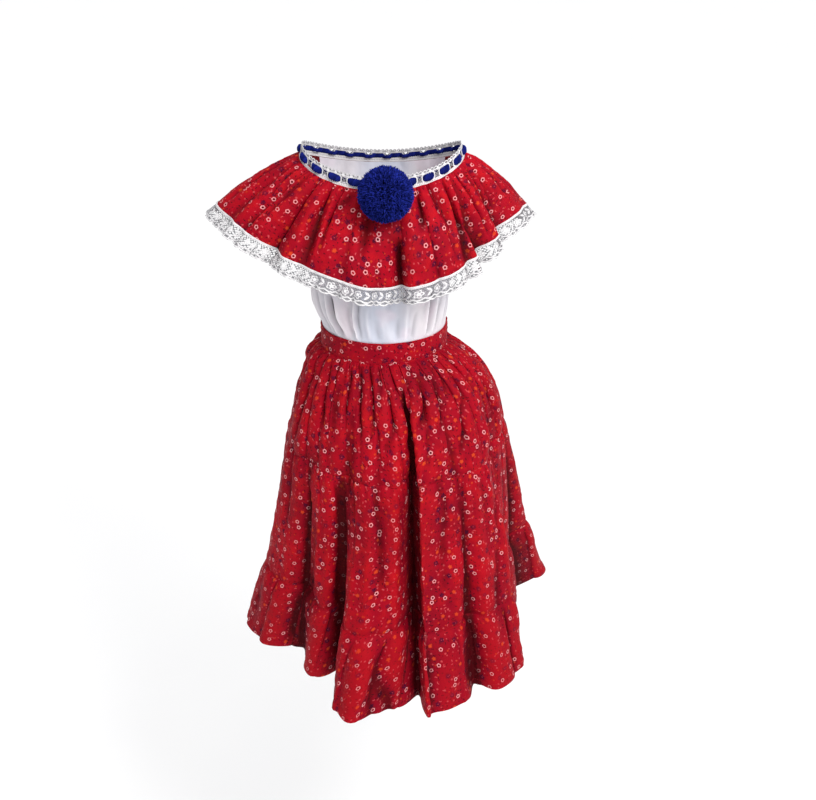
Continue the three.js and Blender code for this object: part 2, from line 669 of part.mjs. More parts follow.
function bodice(half) {
  const middle = (half.from + half.to) / 2;
  const outer = BODICE_ROWS.map((rise) => {
    const reach = bodiceHalfAngle(rise);
    return Array.from({ length: BODICE_COLUMNS + 1 }, (_, j) => {
      const angle = middle + reach * ((2 * j) / BODICE_COLUMNS - 1);
      const point = bodicePoint(angle, rise);
      const onSeam = rise <= ARMHOLE.foot && (j === 0 || j === BODICE_COLUMNS);
      return onSeam ? openSeam(point.setY(0), half) : point;
    });
  });
  const inwardAt = (i, j, sides) => {
    const onSeam = BODICE_ROWS[i] <= ARMHOLE.foot && (j === 0 || j === BODICE_COLUMNS);
    if (onSeam) sides.across = seamAcross(half, j);
    const inward = inwardOf(sides);
    return i === 0 || onSeam ? levelled(inward) : inward;
  };
  return wall(outer, innerFace(outer, CLOTH, inwardAt));
}

// Ellipse angles of the neckline by the distance along it from the front's middle
const NECK_STEPS = 720;
const neckLengths = [0];
for (let i = 1; i <= NECK_STEPS; i += 1) {
  const at = (k) => neckPoint((k * FULL_TURN) / NECK_STEPS).setZ(0);
  neckLengths.push(neckLengths[i - 1] + at(i).distanceTo(at(i - 1)));
}
const NECK_ROUND = neckLengths[NECK_STEPS];

function angleAlongNeck(length) {
  const wanted = euclideanModulo(length, NECK_ROUND);
  const i = Math.min(neckLengths.findLastIndex((value) => value <= wanted), NECK_STEPS - 1);
  const within = (wanted - neckLengths[i]) / (neckLengths[i + 1] - neckLengths[i]);
  return ((i + within) * FULL_TURN) / NECK_STEPS;
}

// A place on the neck lace: its height over the lace's foot and how far off its outer face
function neckLacePoint(length, height, out = 0) {
  const angle = angleAlongNeck(length);
  const level = levelOut(neckDirection(angle));
  const lean = degToRad(NECK_LACE.lean);
  const up = height + NECK_LACE.under;
  const point = neckPoint(angle);
  point.addScaledVector(level, out * Math.cos(lean) - up * Math.sin(lean));
  point.z += out * Math.sin(lean) + up * Math.cos(lean) - NECK_LACE.under;
  return point;
}

const stitchAt = (k) => STITCHES.start + STITCHES.pitch * k + STITCHES.easing * k * k;
const stitchPitch = (k) => STITCHES.pitch + 2 * STITCHES.easing * k;
const slotHalf = (k) => STITCHES.slotShare * stitchPitch(k);

// The neck lace's columns along the neckline: slots, and the bars between them
function laceColumns(from, to) {
  const columns = [];
  for (let k = from; k <= to; k += 1) {
    const middle = stitchAt(k);
    columns.push({ at: middle - slotHalf(k), slot: true });
    columns.push({ at: middle, slot: true });
    columns.push({ at: middle + slotHalf(k), slot: false });
    columns.push({ at: (middle + stitchAt(k + 1)) / 2, slot: false });
  }
  return columns;
}

function neckLace(half) {
  const { right, left } = NECK_LACE_SEAMS;
  const seamRight = stitchAt(right);
  const seamLeft = stitchAt(left);
  let columns;
  if (half.name === 'back') {
    const bars = laceColumns(Math.ceil(right), Math.floor(left)).slice(0, -1);
    columns = [{ at: seamRight + SEAM / 2, slot: false }, ...bars, { at: seamLeft - SEAM / 2, slot: false }];
  } else {
    const afterPompom = [
      ...LACE_BEHIND_POMPOM.map((at) => ({ at, slot: false })),
      ...laceColumns(STITCHES.first, Math.floor(right)).slice(0, -1),
      { at: seamRight - SEAM / 2, slot: false },
    ];
    columns = [
      { at: seamLeft + SEAM / 2, slot: false },
      ...laceColumns(Math.ceil(left), STITCHES.last),
      ...afterPompom.map((column) => ({ at: column.at + NECK_ROUND, slot: column.slot })),
    ];
  }
  const { top, slotHead, slotFoot, under, scallop } = NECK_LACE;
  const heights = [top, slotHead, slotFoot, -under];
  const lowered = (height, j) => (height === top && j % 2 === 1 ? height - scallop : height);
  const grid = (out) => heights.map((height) => columns.map(
    (column, j) => neckLacePoint(column.at, lowered(height, j), out),
  ));
  const slotRow = 1;
  return wall(grid(0), grid(-CLOTH), (i, j) => !(i === slotRow && columns[j].slot));
}

// The yarn: out through each slot, in behind each bar, and both ends at the pompom
function neckYarn() {
  const sections = [{ ...YARN_ENDS.section, at: YARN_ENDS.right }];
  for (let k = STITCHES.first; k <= STITCHES.last; k += 1) {
    const rows = YARN_STITCH.filter(({ along }) => {
      if (k === STITCHES.first) return along >= 0;
      return k < STITCHES.last || along <= 0.5;
    });
    sections.push(...rows.map((row) => ({ ...row, at: stitchAt(k) + row.along * slotHalf(k) })));
  }
  sections.push({ ...YARN_ENDS.section, at: NECK_ROUND + YARN_ENDS.left });
  return tube(sections.map(({ at, out, thick, tall }) => Array.from({ length: YARN_SIDES }, (_, k) => {
    const a = (2 * Math.PI * k) / YARN_SIDES;
    return neckLacePoint(at, YARN_HEIGHT + tall * Math.sin(a), out + thick * Math.cos(a));
  })));
}

// The pompom: a three-sided lock on each face of a small many-sided core
function pompom() {
  const faces = new THREE.IcosahedronGeometry(1, POMPOM.detail).getAttribute('position');
  const middle = new THREE.Vector3(POMPOM.x, POMPOM.y, POMPOM.z);
  const tilt = degToRad(POMPOM_SEAT.tilt);
  const seat = new THREE.Vector3(0, Math.sin(tilt), -Math.cos(tilt));
  const points = [];
  const index = [];
  const numbers = new Map();
  const root = (direction) => {
    const key = direction.toArray().map((value) => value.toFixed(4)).join();
    if (!numbers.has(key)) {
      numbers.set(key, points.length);
      points.push(middle.clone().addScaledVector(direction, POMPOM.core));
    }
    return numbers.get(key);
  };
  for (let i = 0; i < faces.count; i += 3) {
    const corners = [0, 1, 2].map((k) => new THREE.Vector3().fromBufferAttribute(faces, i + k));
    const heart = corners[0].clone().add(corners[1]).add(corners[2]).normalize();
    const roots = corners.map(root);
    const reach = POMPOM.radius + POMPOM.lengthSpread * uneven(i);
    const tips = corners.map((corner) => {
      const direction = heart.clone().lerp(corner, POMPOM.lockShare).normalize();
      const facing = direction.dot(seat);
      const length = facing > 0 ? Math.min(reach, POMPOM_SEAT.distance / facing) : reach;
      points.push(middle.clone().addScaledVector(direction, length));
      return points.length - 1;
    });
    for (let k = 0; k < 3; k += 1) {
      const n = (k + 1) % 3;
      index.push(roots[k], roots[n], tips[n], roots[k], tips[n], tips[k]);
    }
    index.push(...tips);
  }
  return solid(points, index);
}

const TIERS = [
  { name: 'skirt_top', rows: TOP_TIER_ROWS, seam: BAND.halfHeight, gathers: TOP_TIER_GATHERS },
  { name: 'skirt_middle', rows: MIDDLE_TIER_ROWS, seam: TIER_SEAM, gathers: MIDDLE_TIER_GATHERS },
  { name: 'flounce', rows: FLOUNCE_ROWS, seam: FLOUNCE_SEAM, gathers: FLOUNCE_GATHERS },
];

const dress = new THREE.Group();
for (const half of HALVES) {
  const { name } = half;
  dress.add(piece(`bodice_${name}`, bodice(half), 'satin'));
  dress.add(piece(`ruffle_${name}`, ruffle(half), 'cotton'));
  dress.add(piece(`ruffle_lace_${name}`, ruffleLace(half), 'lace'));
  dress.add(piece(`neck_lace_${name}`, neckLace(half), 'lace'));
  dress.add(piece(`waistband_${name}`, waistband(half), 'cotton'));
  for (const { name: tierName, rows, seam, gathers } of TIERS) {
    dress.add(piece(`${tierName}_${name}`, tier(half, rows, seam, gathers), 'cotton'));
  }
}
dress.add(piece('neck_yarn', neckYarn(), 'wool'));
dress.add(piece('pompom', pompom(), 'wool'));

export default dress;
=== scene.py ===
"""A child's folk dress as worn: print cotton, white satin, lace, yarn and a pompom.

Sizes in the tables are millimetres. A direction round the body is an angle in degrees from the front (0)
towards +X (90), with +Z up. Meshes are written in metres.
"""

import math

import bpy
import numpy as np
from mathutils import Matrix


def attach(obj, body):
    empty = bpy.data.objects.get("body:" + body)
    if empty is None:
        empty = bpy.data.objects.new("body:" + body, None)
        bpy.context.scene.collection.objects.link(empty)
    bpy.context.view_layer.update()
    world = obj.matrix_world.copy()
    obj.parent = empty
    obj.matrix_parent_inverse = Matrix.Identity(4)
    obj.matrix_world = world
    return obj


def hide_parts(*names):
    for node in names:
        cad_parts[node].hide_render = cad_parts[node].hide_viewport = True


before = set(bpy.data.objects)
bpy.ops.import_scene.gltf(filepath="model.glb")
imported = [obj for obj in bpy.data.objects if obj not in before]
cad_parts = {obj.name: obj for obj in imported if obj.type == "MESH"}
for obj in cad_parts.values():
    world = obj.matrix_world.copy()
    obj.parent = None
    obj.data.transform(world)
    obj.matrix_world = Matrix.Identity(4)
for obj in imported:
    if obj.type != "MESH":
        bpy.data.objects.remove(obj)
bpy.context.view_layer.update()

MM = 0.001
FULL_TURN = 360.0
TURN = 2 * np.pi

# Cloth and gathers
COTTON_WALL, BAND_WALL, SATIN_WALL, LACE_WALL = 1.0, 2.0, 0.9, 0.6
VALLEY_SHARPNESS = 1.35  # over 1, a large fold's valley is narrower than its ridge
CREST_ROUNDNESS = 0.75  # under 1, a gather's valley is narrower than its crest
GATHER_LEAN = 0.72  # how far a gather's sides lean to its valleys: at 1 they would meet there
PUCKER_HEIGHT, PUCKER_REACH = 2.2, 26.0
HOLLOW_SCALES = ((24, 2.6, 0.55), (260, 10.5, 0.6))  # troughs, painted as shade, and ridges, painted as highlight: smoothing passes, full depth, weight

# Waistband
BAND_WIDTH, BAND_DEPTH, BAND_HALF_HEIGHT = 101.0, 83.0, 17.5
BAND_RUCHES, BAND_RUCHED_HEIGHT = 16, 2.4
BAND_ROWS = (17.5, 17.1, 16.2, 14.5, 12, 8, 4, 0, -4, -8, -12, -14.5, -17, -18.2, -18.8)
BAND_COLUMNS = 576
BAND_EDGE_ROLL, BAND_GROOVE, BAND_GROOVE_REACH = 8, 0.35, 0.8
BAND_STITCHES = 14.5  # the height of its two rows of stitches over and under its middle

# Skirt: sections below the waist
SKIRT_SECTIONS = {
    "at": (17.5, 40, 75, 130, 185, 335, 430, 555),
    "half_width": (100.2, 119, 145, 171, 185, 217, 236, 272),
    "half_depth": (82.2, 98, 127, 154, 175, 217, 243, 288),
    "shift": (0, 8, 15, 20, 20, 22, 22, 22),
}
TIER_SEAM, FLOUNCE_SEAM, HEM = 185.0, 430.0, 555.0
FLOUNCE_PUFF, FLOUNCE_PUFF_BELOW = 3.0, 25.0
HEM_FOLD, HEM_ROLL = 9.0, 0.5  # the height of the turned-up hem, and how far it stands out
SEAM_ROWS = (0, 1.2, 2.4, 3.6, 5, 7)
ROW_STEP = 5.6
TUCK, TUCK_REACH = 1.4, 3.2  # a tier's gathered edge is tucked in under the piece above it
SEAM_OVERLAP, SEAM_PINCH, SEAM_PINCH_REACH = 1.0, 2.4, 6.0

# Skirt: the lines of its large folds. Each row: direction at the hem, direction at the waist, and how far
# the cloth stands out from its sections high up, at the middle and at the hem.
FOLD_DROPS = (45, 130, 330, HEM)
SKIRT_FOLDS = np.array([
    (-176, -172, -6, -26, -56), (-160, -160, 0, 2, 6), (-146, -148, -8, -24, -44), (-134, -136, 0, 0, 2),
    (-119, -122, -5, -22, -50), (-104, -106, 0, 0, -22), (-91, -90, -3, -12, -40), (-76, -74, 0, 2, 5),
    (-66, -65, 0, 0, -8), (-50, -52, -5, -26, -70), (-35, -38, 0, -14, -33), (-28, -27, -9, -36, -76),
    (-19, -18, 0, 4, 10), (-14, -11, 0, 3, 28), (-8, -5, 0, 1, 0), (-3, 0, 0, 1, -10),
    (3.5, 8, -27, -76, -42), (11, 17, 0, 4, 8), (22, 27, 0, 3, -2), (29, 35, -5, -12, -32),
    (37, 44, 0, 4, 6), (49, 60, 0, 4, -3), (58, 70, -16, -42, -74), (96, 90, -4, -24, -60),
    (107, 99, 0, 5, 11), (119, 112, 0, 2, 2), (130, 126, -6, -26, -54), (148, 146, 0, 2, 5),
    (165, 166, -7, -22, -48), (174, 178, 0, -4, -18),
])

# Skirt: a small pouch of cloth under the waistband at the wearer's right
POUCH_AT, POUCH_SPREAD, POUCH_DROP, POUCH_DEPTH, POUCH_OUT = -95.0, 32.0, 36.0, 20.0, 9.0

# The deep fold at the front is a pleat whose right side lies over its left: the lines between its valley and
# its ridge at the hem and the waist, half their distance, and how far they slide over each other.
PLEAT = {"at": 9.6, "at_waist": 14.2, "half": 4.5, "slide": 0.068, "most": 14.5, "from": 30.0, "full": 90.0}

# Gathers: their number all round, and their crests' height by the distance under the gathering seam
TOP_GATHERS = {"count": 38, "puckers": 3, "below": (0, 25, 85, 168), "height": (2.6, 7, 5.5, 1.4)}
MIDDLE_GATHERS = {"count": 36, "puckers": 3, "below": (0, 30, 90, 250), "height": (1, 3.4, 1.6, 1)}
FLOUNCE_GATHERS = {"count": 36, "puckers": 3, "below": (0, 28, 75, 125), "height": (1, 6, 5, 4)}
RUFFLE_GATHERS = {"count": 28, "puckers": 4, "below": (0, 25, 75, 150), "height": (1.2, 4.5, 3.5, 2)}
LACE_GATHERS = {"count": 44, "below": (0, 12, 24), "height": (0, 2.2, 4)}
TIER_PER_GATHER, RUFFLE_PER_GATHER, LACE_PER_GATHER = 18, 22, 16  # columns

# Skirt: its tiers' names, seams and gathers, and where they start on the print
TIERS = (
    ("SkirtTop", "skirt_top", 17.5, TIER_SEAM, TOP_GATHERS, 0),
    ("SkirtMiddle", "skirt_middle", TIER_SEAM, FLOUNCE_SEAM, MIDDLE_GATHERS, 230),
    ("Flounce", "flounce", FLOUNCE_SEAM, HEM, FLOUNCE_GATHERS, 510),
)
BAND_PRINT_START, RUFFLE_PRINT_START = 700, 900

# Skirt: creases listed one by one, in drops. Each row: direction at its start and end, where it starts and
# ends, its width, and how far it stands out.
SKIRT_CREASES = (
    (-24, -22, 22, 116, 4.5, -8), (-15, -15, 24, 120, 4, -7), (-8, -9, 20, 80, 3, -5),
    (2, -5, 22, 138, 5, -8), (6, 0, 20, 90, 3, -5), (11, 4, 24, 146, 4.5, -8), (22, 12, 20, 88, 3.5, -6),
    (32, 17, 24, 112, 4.5, -8), (44, 26, 26, 118, 4.5, -7), (52, 34, 22, 90, 3.5, -5),
    (59, 36, 34, 156, 5, -7), (-34, -33, 24, 90, 4, -5), (-42, -38, 26, 130, 5, -5),
    (-56, -47, 30, 120, 5, -6), (-68, -66, 34, 160, 6, -5), (-80, -78, 40, 130, 6, -4),
    (71, 57, 36, 130, 5, -6), (82, 74, 40, 150, 6, -5), (-10, -6, 150, 385, 9, -5),
    (-15, -12, 120, 420, 9, 4), (24, 20, 150, 390, 9, -4), (31, 27, 170, 420, 9, 3),
    (60, 52, 150, 300, 9, -7), (54, 40, 260, 490, 11, -5), (-51, -54, 230, 480, 9, -6),
    (-31, -30, 190, 430, 8, -7), (-40, -41, 200, 400, 10, 4), (-66, -64, 190, 330, 9, -5),
    (-22, -20, 200, 330, 7, -4), (12, 12, 230, 420, 8, 4), (-6, -5, 440, 560, 7, -7),
    (-12, -12, 445, 560, 8, 4), (16, 16, 440, 560, 7, -7), (27, 26, 436, 556, 7, -6),
    (46, 45, 440, 560, 7, -6), (-42, -43, 440, 560, 8, -7), (-56, -58, 436, 556, 8, -6),
    (-71, -72, 440, 560, 8, -6), (80, 80, 440, 560, 8, -6), (110, 108, 30, 170, 6, -6),
    (124, 124, 26, 110, 5, -6), (140, 141, 28, 150, 5, -7), (156, 155, 24, 110, 4.5, -6),
    (172, 170, 28, 140, 5, -7), (-170, -170, 24, 100, 4.5, -6), (-150, -152, 26, 150, 5, -7),
    (-134, -134, 26, 110, 5, -5), (-120, -122, 34, 160, 6, -6), (-104, -103, 34, 130, 6, -5),
    (95, 97, 210, 420, 9, -6), (110, 111, 230, 430, 9, 4), (120, 121, 200, 400, 9, -6),
    (155, 154, 200, 410, 9, -7), (-170, -168, 200, 420, 9, 4), (-138, -139, 200, 400, 9, -7),
    (-112, -112, 210, 420, 9, -5), (-96, -95, 220, 420, 9, -6), (105, 105, 440, 560, 8, -6),
    (128, 128, 436, 558, 8, -6), (147, 147, 440, 560, 8, -7), (171, 171, 440, 560, 8, -6),
    (-158, -158, 436, 558, 8, -7), (-132, -132, 440, 560, 8, -6), (-104, -104, 440, 560, 8, -6),
)
SKIRT_CREASE_DEPTH = 1.15
# Slow waves all over the skirt. Each row: waves round the body, phase, waves down it, height.
SKIRT_WAVES = ((17, 0.4, 1.1, 0.9), (23, 2.1, -0.8, 0.7), (41, 4.4, 1.7, 0.45), (67, 1.3, -2.3, 0.25))
SKIRT_WAVES_FROM, SKIRT_WAVES_GROW = 60, 120

# Neckline
NECK_WIDTH, NECK_DEPTH, NECK_HEIGHT = 122.0, 80.0, 290.0
NECK_FRONT_DIP, NECK_BACK_DIP, NECK_DIP_POWER = 28.0, 36.0, 1.5

# Ruffle: its slope under the level where it starts and at its hem, and how far its hem lies along the cloth
RUFFLE_LENGTH = 145.0
RUFFLE_CLEARANCE = 0.4
RUFFLE_SLOPES = {
    "at": (-180, -130, -108, -90, -70, -45, -20, 0, 15, 38, 58, 75, 92, 108, 130, 180),
    "start": (38, 30, 24, 20, 22, 32, 41, 45, 44, 42, 40, 34, 28, 27, 30, 38),
    "end": (76, 64, 50, 45, 52, 65, 78, 82, 81, 78, 75, 69, 61, 58, 64, 76),
    "length": (142, 144, 148, 150, 135, 130, 132, 144, 141, 128, 120, 117, 125, 142, 146, 142),
}
RUFFLE_STEP = 4.0
RUFFLE_TOP_ROWS, RUFFLE_HEM_ROWS = (0, 1, 2.2), (143, 144.2, 145)
# Ruffle: the lines of its large folds. Each row: direction at the hem, direction at the neckline, and how far
# the cloth stands out half way down and at the hem.
RUFFLE_FOLDS = np.array([
    (-165, -168, 0, 2), (-148, -152, -9, -18), (-128, -132, 0, 2), (-112, -110, -7, -14), (-92, -88, 1, 3),
    (-77, -62, -3, -5), (-62, -48, 1, 2), (-46, -30, -12, -20), (-34, -22, 1, 3), (-8, -4, 1, 2),
    (4, 6, -5, -14), (12, 12, 1, 3), (38, 26, 2, 5), (46, 32, -10, -18), (58, 44, 0, 3), (67, 58, -8, -16),
    (86, 76, 1, 2), (102, 98, 1, 3), (116, 114, -8, -16), (136, 136, 0, 3), (156, 158, -10, -20),
    (176, 176, 0, 2),
])
# Ruffle: its creases, as the skirt's, in millimetres from the neckline
RUFFLE_CREASES = (
    (-24, -30, -10, 158, 8, -12), (-32, -50, -10, 160, 7, -10), (-41, -56, -5, 120, 4.5, -5),
    (-51, -65, 20, 156, 7, -9), (-56, -62, -8, 100, 4, -5), (-17, -23, -8, 118, 5, -6),
    (-11, -17, -8, 50, 4, -5), (-4, -7, 20, 104, 5, -5), (-1, -2, -8, 44, 3.5, -4),
    (-69, -73, 10, 110, 4, -4), (-80, -84, 4, 130, 5, -5), (5.5, 7, 70, 164, 5.5, -13),
    (15, 14, 6, 70, 4.5, -6), (20, 24, -8, 60, 3.5, -4), (26, 30, 0, 90, 4, -5), (33, 36, 6, 162, 7, -13),
    (39, 44, -8, 100, 4, -5), (46, 53, 4, 130, 5, -6), (55, 60, -6, 90, 4, -5), (62, 66, 20, 140, 5, -5),
    (71, 71, 24, 110, 5, -6), (80, 84, -6, 110, 5, -5), (92, 96, -4, 120, 5, -5), (104, 105, -8, 90, 4, -4),
    (112, 114, -8, 140, 6, -7), (122, 122, -8, 80, 4, -4), (130, 131, 0, 110, 5, -5),
    (141, 142, -8, 90, 4, -5), (152, 153, -8, 150, 6, -8), (162, 162, -8, 90, 4, -5),
    (170, 170, -6, 120, 5, -5), (-178, -178, -8, 90, 4, -4), (-170, -168, -8, 130, 5, -6),
    (-160, -159, -8, 80, 4, -4), (-150, -148, -8, 150, 6, -8), (-139, -138, -8, 90, 4, -5),
    (-128, -127, -8, 120, 5, -5), (-117, -117, -8, 80, 4, -4), (-108, -106, -8, 140, 5, -7),
    (-96, -96, -8, 110, 5, -4),
)
RUFFLE_CREASES_FULL = 22.0  # the distance from the neckline over which they grow
RUFFLE_CREASE_DEPTH = 1.3
RUFFLE_WAVES = ((19, 1.4, 0.5, 0.7), (31, 3.1, -0.6, 0.5), (53, 0.4, 0.9, 0.3))
RUFFLE_RADIUS = 170.0  # about half way down, for the creases' widths

# Lace at the ruffle's hem
LACE_WIDTH = 24.0
LACE_OVERLAP = 2.5  # how far its heading lies on the cotton
LACE_STEP = {"RuffleLace": 1.1, "NeckLace": 0.85}  # the spacing of the grid that a pattern is cut from
LACE_ROWS = 15
LACE_LIFT = 1.4  # how far the heading lies off the cotton
LACE_FULLNESS = 1.6
LACE_LEAN = 0.5
LACE_SCALLOP_PITCH, LACE_SCALLOP = 12.0, 2.4
LACE_REPEAT = 24.0
LACE_BLOSSOM_AT = 12.6  # the middle of its blossoms, from its heading
HEADING_DEPTH, HEADING_SLOTS_AT, HEADING_SLOT_HALF = 4.0, 2.3, 0.6
BAR_PITCH, BAR_HALF = 2.4, 0.8  # the bars between the heading's slots
WAVY_CORD_AT, WAVY_CORD_SWING, RAYS_AT = 5.2, 1.7, 5.0  # from the scalloped edge
BLOSSOM_RADIUS, BLOSSOM_PETALS, BLOSSOM_HEART = 6.0, 5, 1.9
LEAVES = ((9.2, 38), (14.6, -38))  # their distance from the heading and their tilt in degrees
LACE_NET, NECK_NET = 3.8, 3.1
LACE_THREAD = 0.6  # half the width of a thread
CORD_EDGE, CORD_HEIGHT = 0.6, 0.5  # how softly and how far a cord stands out from the net
TROUGH_SHADE = 0.6  # how much of the net's painted shade a cord takes in a trough

# Neck lace, and the stitches of the yarn along the neckline
NECK_LACE_UNDER, NECK_LACE_TOP, NECK_LACE_LEAN = 2.0, 20.0, math.radians(14.0)
NECK_LACE_ROWS, NECK_LACE_COLUMNS = 12, 640
SLOT_FOOT, SLOT_HEAD, SLOT_CORNER = 4.5, 13.5, 3
SLOTS_FROM, SLOTS_END = 43, 10  # how far along they start, and how far from the neckline's end they stop
UPPER_CORD_HEIGHT, NECK_BLOSSOM_HEIGHT = 15.2, 15.6
PICOT_WIDTH, PICOT_HEIGHT = 6.2, 2.4
STITCH_START, STITCH_PITCH, STITCH_EASING = 70.9, 27.8, 0.097
STITCH_FIRST, STITCH_LAST, SLOT_SHARE = -1, 18, 0.34
# The yarn's course over a stitch: where along it, how far out, and half its thickness and height. Its two
# ends lie at the pompom.
YARN_STITCH = (
    (-1.04, -3.4, 1.8, 3.2), (-0.72, 0.9, 2.7, 4.7), (-0.3, 2, 3.3, 5.4), (0, 2.2, 3.4, 5.5),
    (0.3, 2, 3.3, 5.4), (0.72, 0.9, 2.7, 4.7), (1.04, -3.4, 1.8, 3.2),
)
YARN_LEFT, YARN_RIGHT, YARN_END = -24.0, 40.0, (4.4, 2.6, 4.0)
YARN_HEIGHT = 9.0
YARN_PLIES, YARN_PLY_SIDES = 4, 8
YARN_PLY_OFF, YARN_PLY_HALF = 0.46, 0.6  # shares of the yarn's half thickness: a ply's middle and its own
YARN_TWIST, YARN_SECTION_STEP = 12.5, 1.3  # the length of one turn of the plies, and of a section

# Pompom
POMPOM_MIDDLE = np.array([7.5, -121.0, 272.0])
POMPOM_RADIUS, POMPOM_CORE, POMPOM_ROOT = 41.0, 30.0, 18.0
POMPOM_SEAT_TILT, POMPOM_SEAT_DISTANCE = math.radians(42.0), 33.0
POMPOM_STRANDS, POMPOM_SEED = 6400, 7
POMPOM_CORE_ROWS, POMPOM_CORE_COLUMNS = 18, 28
STRAND_SIDES, STRAND_HALF_WIDTH = 3, 1.0
STRAND_SPREAD, STRAND_LEAN, STRAND_CURL, STRAND_UNEVENNESS = 0.022, 0.075, 0.05, 0.85
STRAND_SECTIONS = ((0.0, 0.8, 0.1), (0.7, 1.15, 0.8), (1.0, 0.45, 1.15))  # share of the length, width, tone; the low tone near the root is painted shade inside the pompom

# Sewing
SEWING_LENGTH, SEWING_SPACING, SEWING_RADIUS, SEWING_SIDES = 2.3, 3.3, 0.28, 4
SEWING_SECTIONS = ((-0.5, 0.5, -1.4), (-0.3, 1, 0.35), (0.3, 1, 0.35), (0.5, 0.5, -1.4))  # along, size, out

# Bodice: sections by their rise over the origin
BODICE_SECTIONS = {
    "at": (-70, -17.5, 17.5, 60, 115, 170, 225, 260),
    "half_width": (97.6, 98.6, 98.6, 107, 110, 110, 115, 122),
    "half_depth": (79.6, 80.6, 80.6, 84, 86, 86, 83, 80),
    "shift": (0, 0, 0, -5, -4, -1, 0, 0),
}
BODICE_TOP, BODICE_FOOT, BODICE_TOP_GAP = 260.0, -70.0, 2.7
ARMHOLE_FOOT, PANEL_HALF_ANGLE = 170.0, 52.0
BODICE_FOLD_FOOT, BODICE_FOLD_FULL = 17.5, 57.5
BODICE_FOLD_FADE, BODICE_FOLD_END = 110.0, 230.0
# Bodice: its upright folds. Each row: direction, width in degrees, how far out.
BODICE_FOLDS = (
    (-58, 9, 2.6), (-34, 7, 3), (33, 9, 2.8), (62, 8, 2),
    (128, 10, 2.6), (160, 9, 2.2), (-150, 9, 2.6), (-118, 10, 2.2),
)
# Bodice: its creases, as the skirt's, in rises
BODICE_CREASES = (
    (-45, -48, 17, 96, 2.6, 4), (-39, -43.5, 17, 92, 5, -5.8), (-33, -37, 18, 80, 3.5, 1.8),
    (-54, -62, 18, 100, 3.5, -3), (-64, -70, 18, 90, 5.1, 1.5), (-72, -78, 18, 80, 5.1, -1.6),
    (-27, -26, 17, 80, 4, -1.8), (-23, -19.5, 17, 100, 1.5, 4), (-20, -16, 17, 100, 2.4, -2.2),
    (-12, -9, 18, 80, 3, 1.4), (-4, -3, 16, 60, 5, -1.6), (4, 6, 20, 100, 8, 1.6),
    (13, 16, 17, 60, 4, -1.6), (20, 24, 17, 90, 3, 1.8), (27, 31, 17, 70, 3, -2),
    (39.5, 44, 17, 100, 2.6, 4), (44, 49, 20, 98, 4.8, -5.8), (49, 54, 19, 100, 2.6, 4.2),
    (55, 60, 18, 80, 2, -3), (62, 66, 18, 90, 4.1, 1.9), (70, 74, 18, 90, 4.1, -2.1),
    (79, 82, 18, 80, 5.1, 1.2), (-82, -84, 18, 90, 5.1, 1.2), (99, 98, 18, 80, 5.1, -1.9),
    (108, 106, 18, 100, 5.1, 1.9), (115, 114, 18, 80, 4.1, -2.5), (122, 124, 18, 100, 6.8, 1.5),
    (138, 136, 18, 90, 4.4, -2.8), (145, 144, 18, 100, 5.1, 1.6), (154, 156, 18, 90, 6.8, -1.4),
    (170, 168, 18, 90, 4.4, -2.2), (177, 176, 18, 100, 6.8, 1.5), (-171, -172, 18, 90, 5.1, -1.6),
    (-162, -160, 18, 90, 4.4, -2.8), (-152, -152, 18, 100, 5.1, 1.6), (-137, -138, 18, 90, 5.1, -1.9),
    (-128, -128, 18, 110, 6.8, 1.5), (-119, -118, 18, 90, 4.4, -2.5), (-105, -106, 18, 80, 5.1, 1.6),
    (-96, -97, 18, 80, 5.1, -1.9),
)
BODICE_CREASE_DEPTH, BODICE_RADIUS = 1.25, 98
BODICE_TUCK, BODICE_TUCK_TOP, BODICE_TUCK_GROWS = 1.6, -8, 8  # it is drawn in below the waistband
BODICE_LIFT_FOOT, BODICE_LIFT_GROWS = 15, 11  # its creases grow from the waistband's top edge
SIDE_SEAM_DEPTH, SIDE_SEAM_SPREAD = 1.2, 1.6
BODICE_WAVES = ((11, 40, 0.5), (23, -27, 0.35))  # waves round the body, slant, height
BODICE_COLUMNS = {"BodiceFront": 230, "BodiceBack": 130}
BODICE_ROWS = ((-70, 16, 8.5), (18, 170, 4), (170, 176, 1), (176, 200, 3), (200, 260, 5))  # from, to, step

# Colours
RED = (0.335, 0.0016, 0.0110)
DEEP_RED = (0.200, 0.0010, 0.0095)
PAINTED_SHADE_RED = (0.018, 0.0002, 0.0007)
BRIGHT_PATCH_AND_PAINTED_HIGHLIGHT_RED = (0.450, 0.0060, 0.0075)
FLOWER_WHITE = (0.70, 0.30, 0.31)
FLOWER_NAVY = (0.006, 0.0009, 0.013)
FLOWER_PURPLE = (0.022, 0.0017, 0.028)
FLOWER_ORANGE = (0.54, 0.050, 0.011)
FLOWER_HEART = (0.03, 0.001, 0.002)
BUD_PINK = (0.56, 0.08, 0.09)
TWIG = (0.025, 0.0015, 0.006)
THREAD_RED = (0.40, 0.008, 0.013)
REVERSE_TINT = (0.36, 0.055, 0.062)
SATIN_WHITE = (0.66, 0.62, 0.65)
SATIN_SHADE = (0.52, 0.51, 0.56)
SATIN_PAINTED_REFLECTION = (0.55, 0.62, 0.76)
SATIN_PINK = (0.78, 0.64, 0.73)
SATIN_PAINTED_SHADE = (0.13, 0.13, 0.15)
SATIN_PAINTED_CREASE_SHADE = (0.02, 0.02, 0.025)
SATIN_PAINTED_HIGHLIGHT = (0.93, 0.90, 0.94)
LACE_WHITE = (0.82, 0.80, 0.81)
LACE_SHADE = (0.60, 0.59, 0.60)
NET_PAINTED_SHADE = (0.16, 0.158, 0.17)
WOOL_DARK = (0.0010, 0.0020, 0.028)
WOOL_LIGHT = (0.018, 0.032, 0.34)
FLOOR_PALE, FLOOR_WHITE = (0.93, 0.93, 0.93), (0.95, 0.95, 0.945)

# The spacing of the print's flowers, of its small marks and of its dots, in millimetres
SPRIG_PITCH, TWIG_PITCH, DOT_PITCH = 22.5, 7.6, 12.5

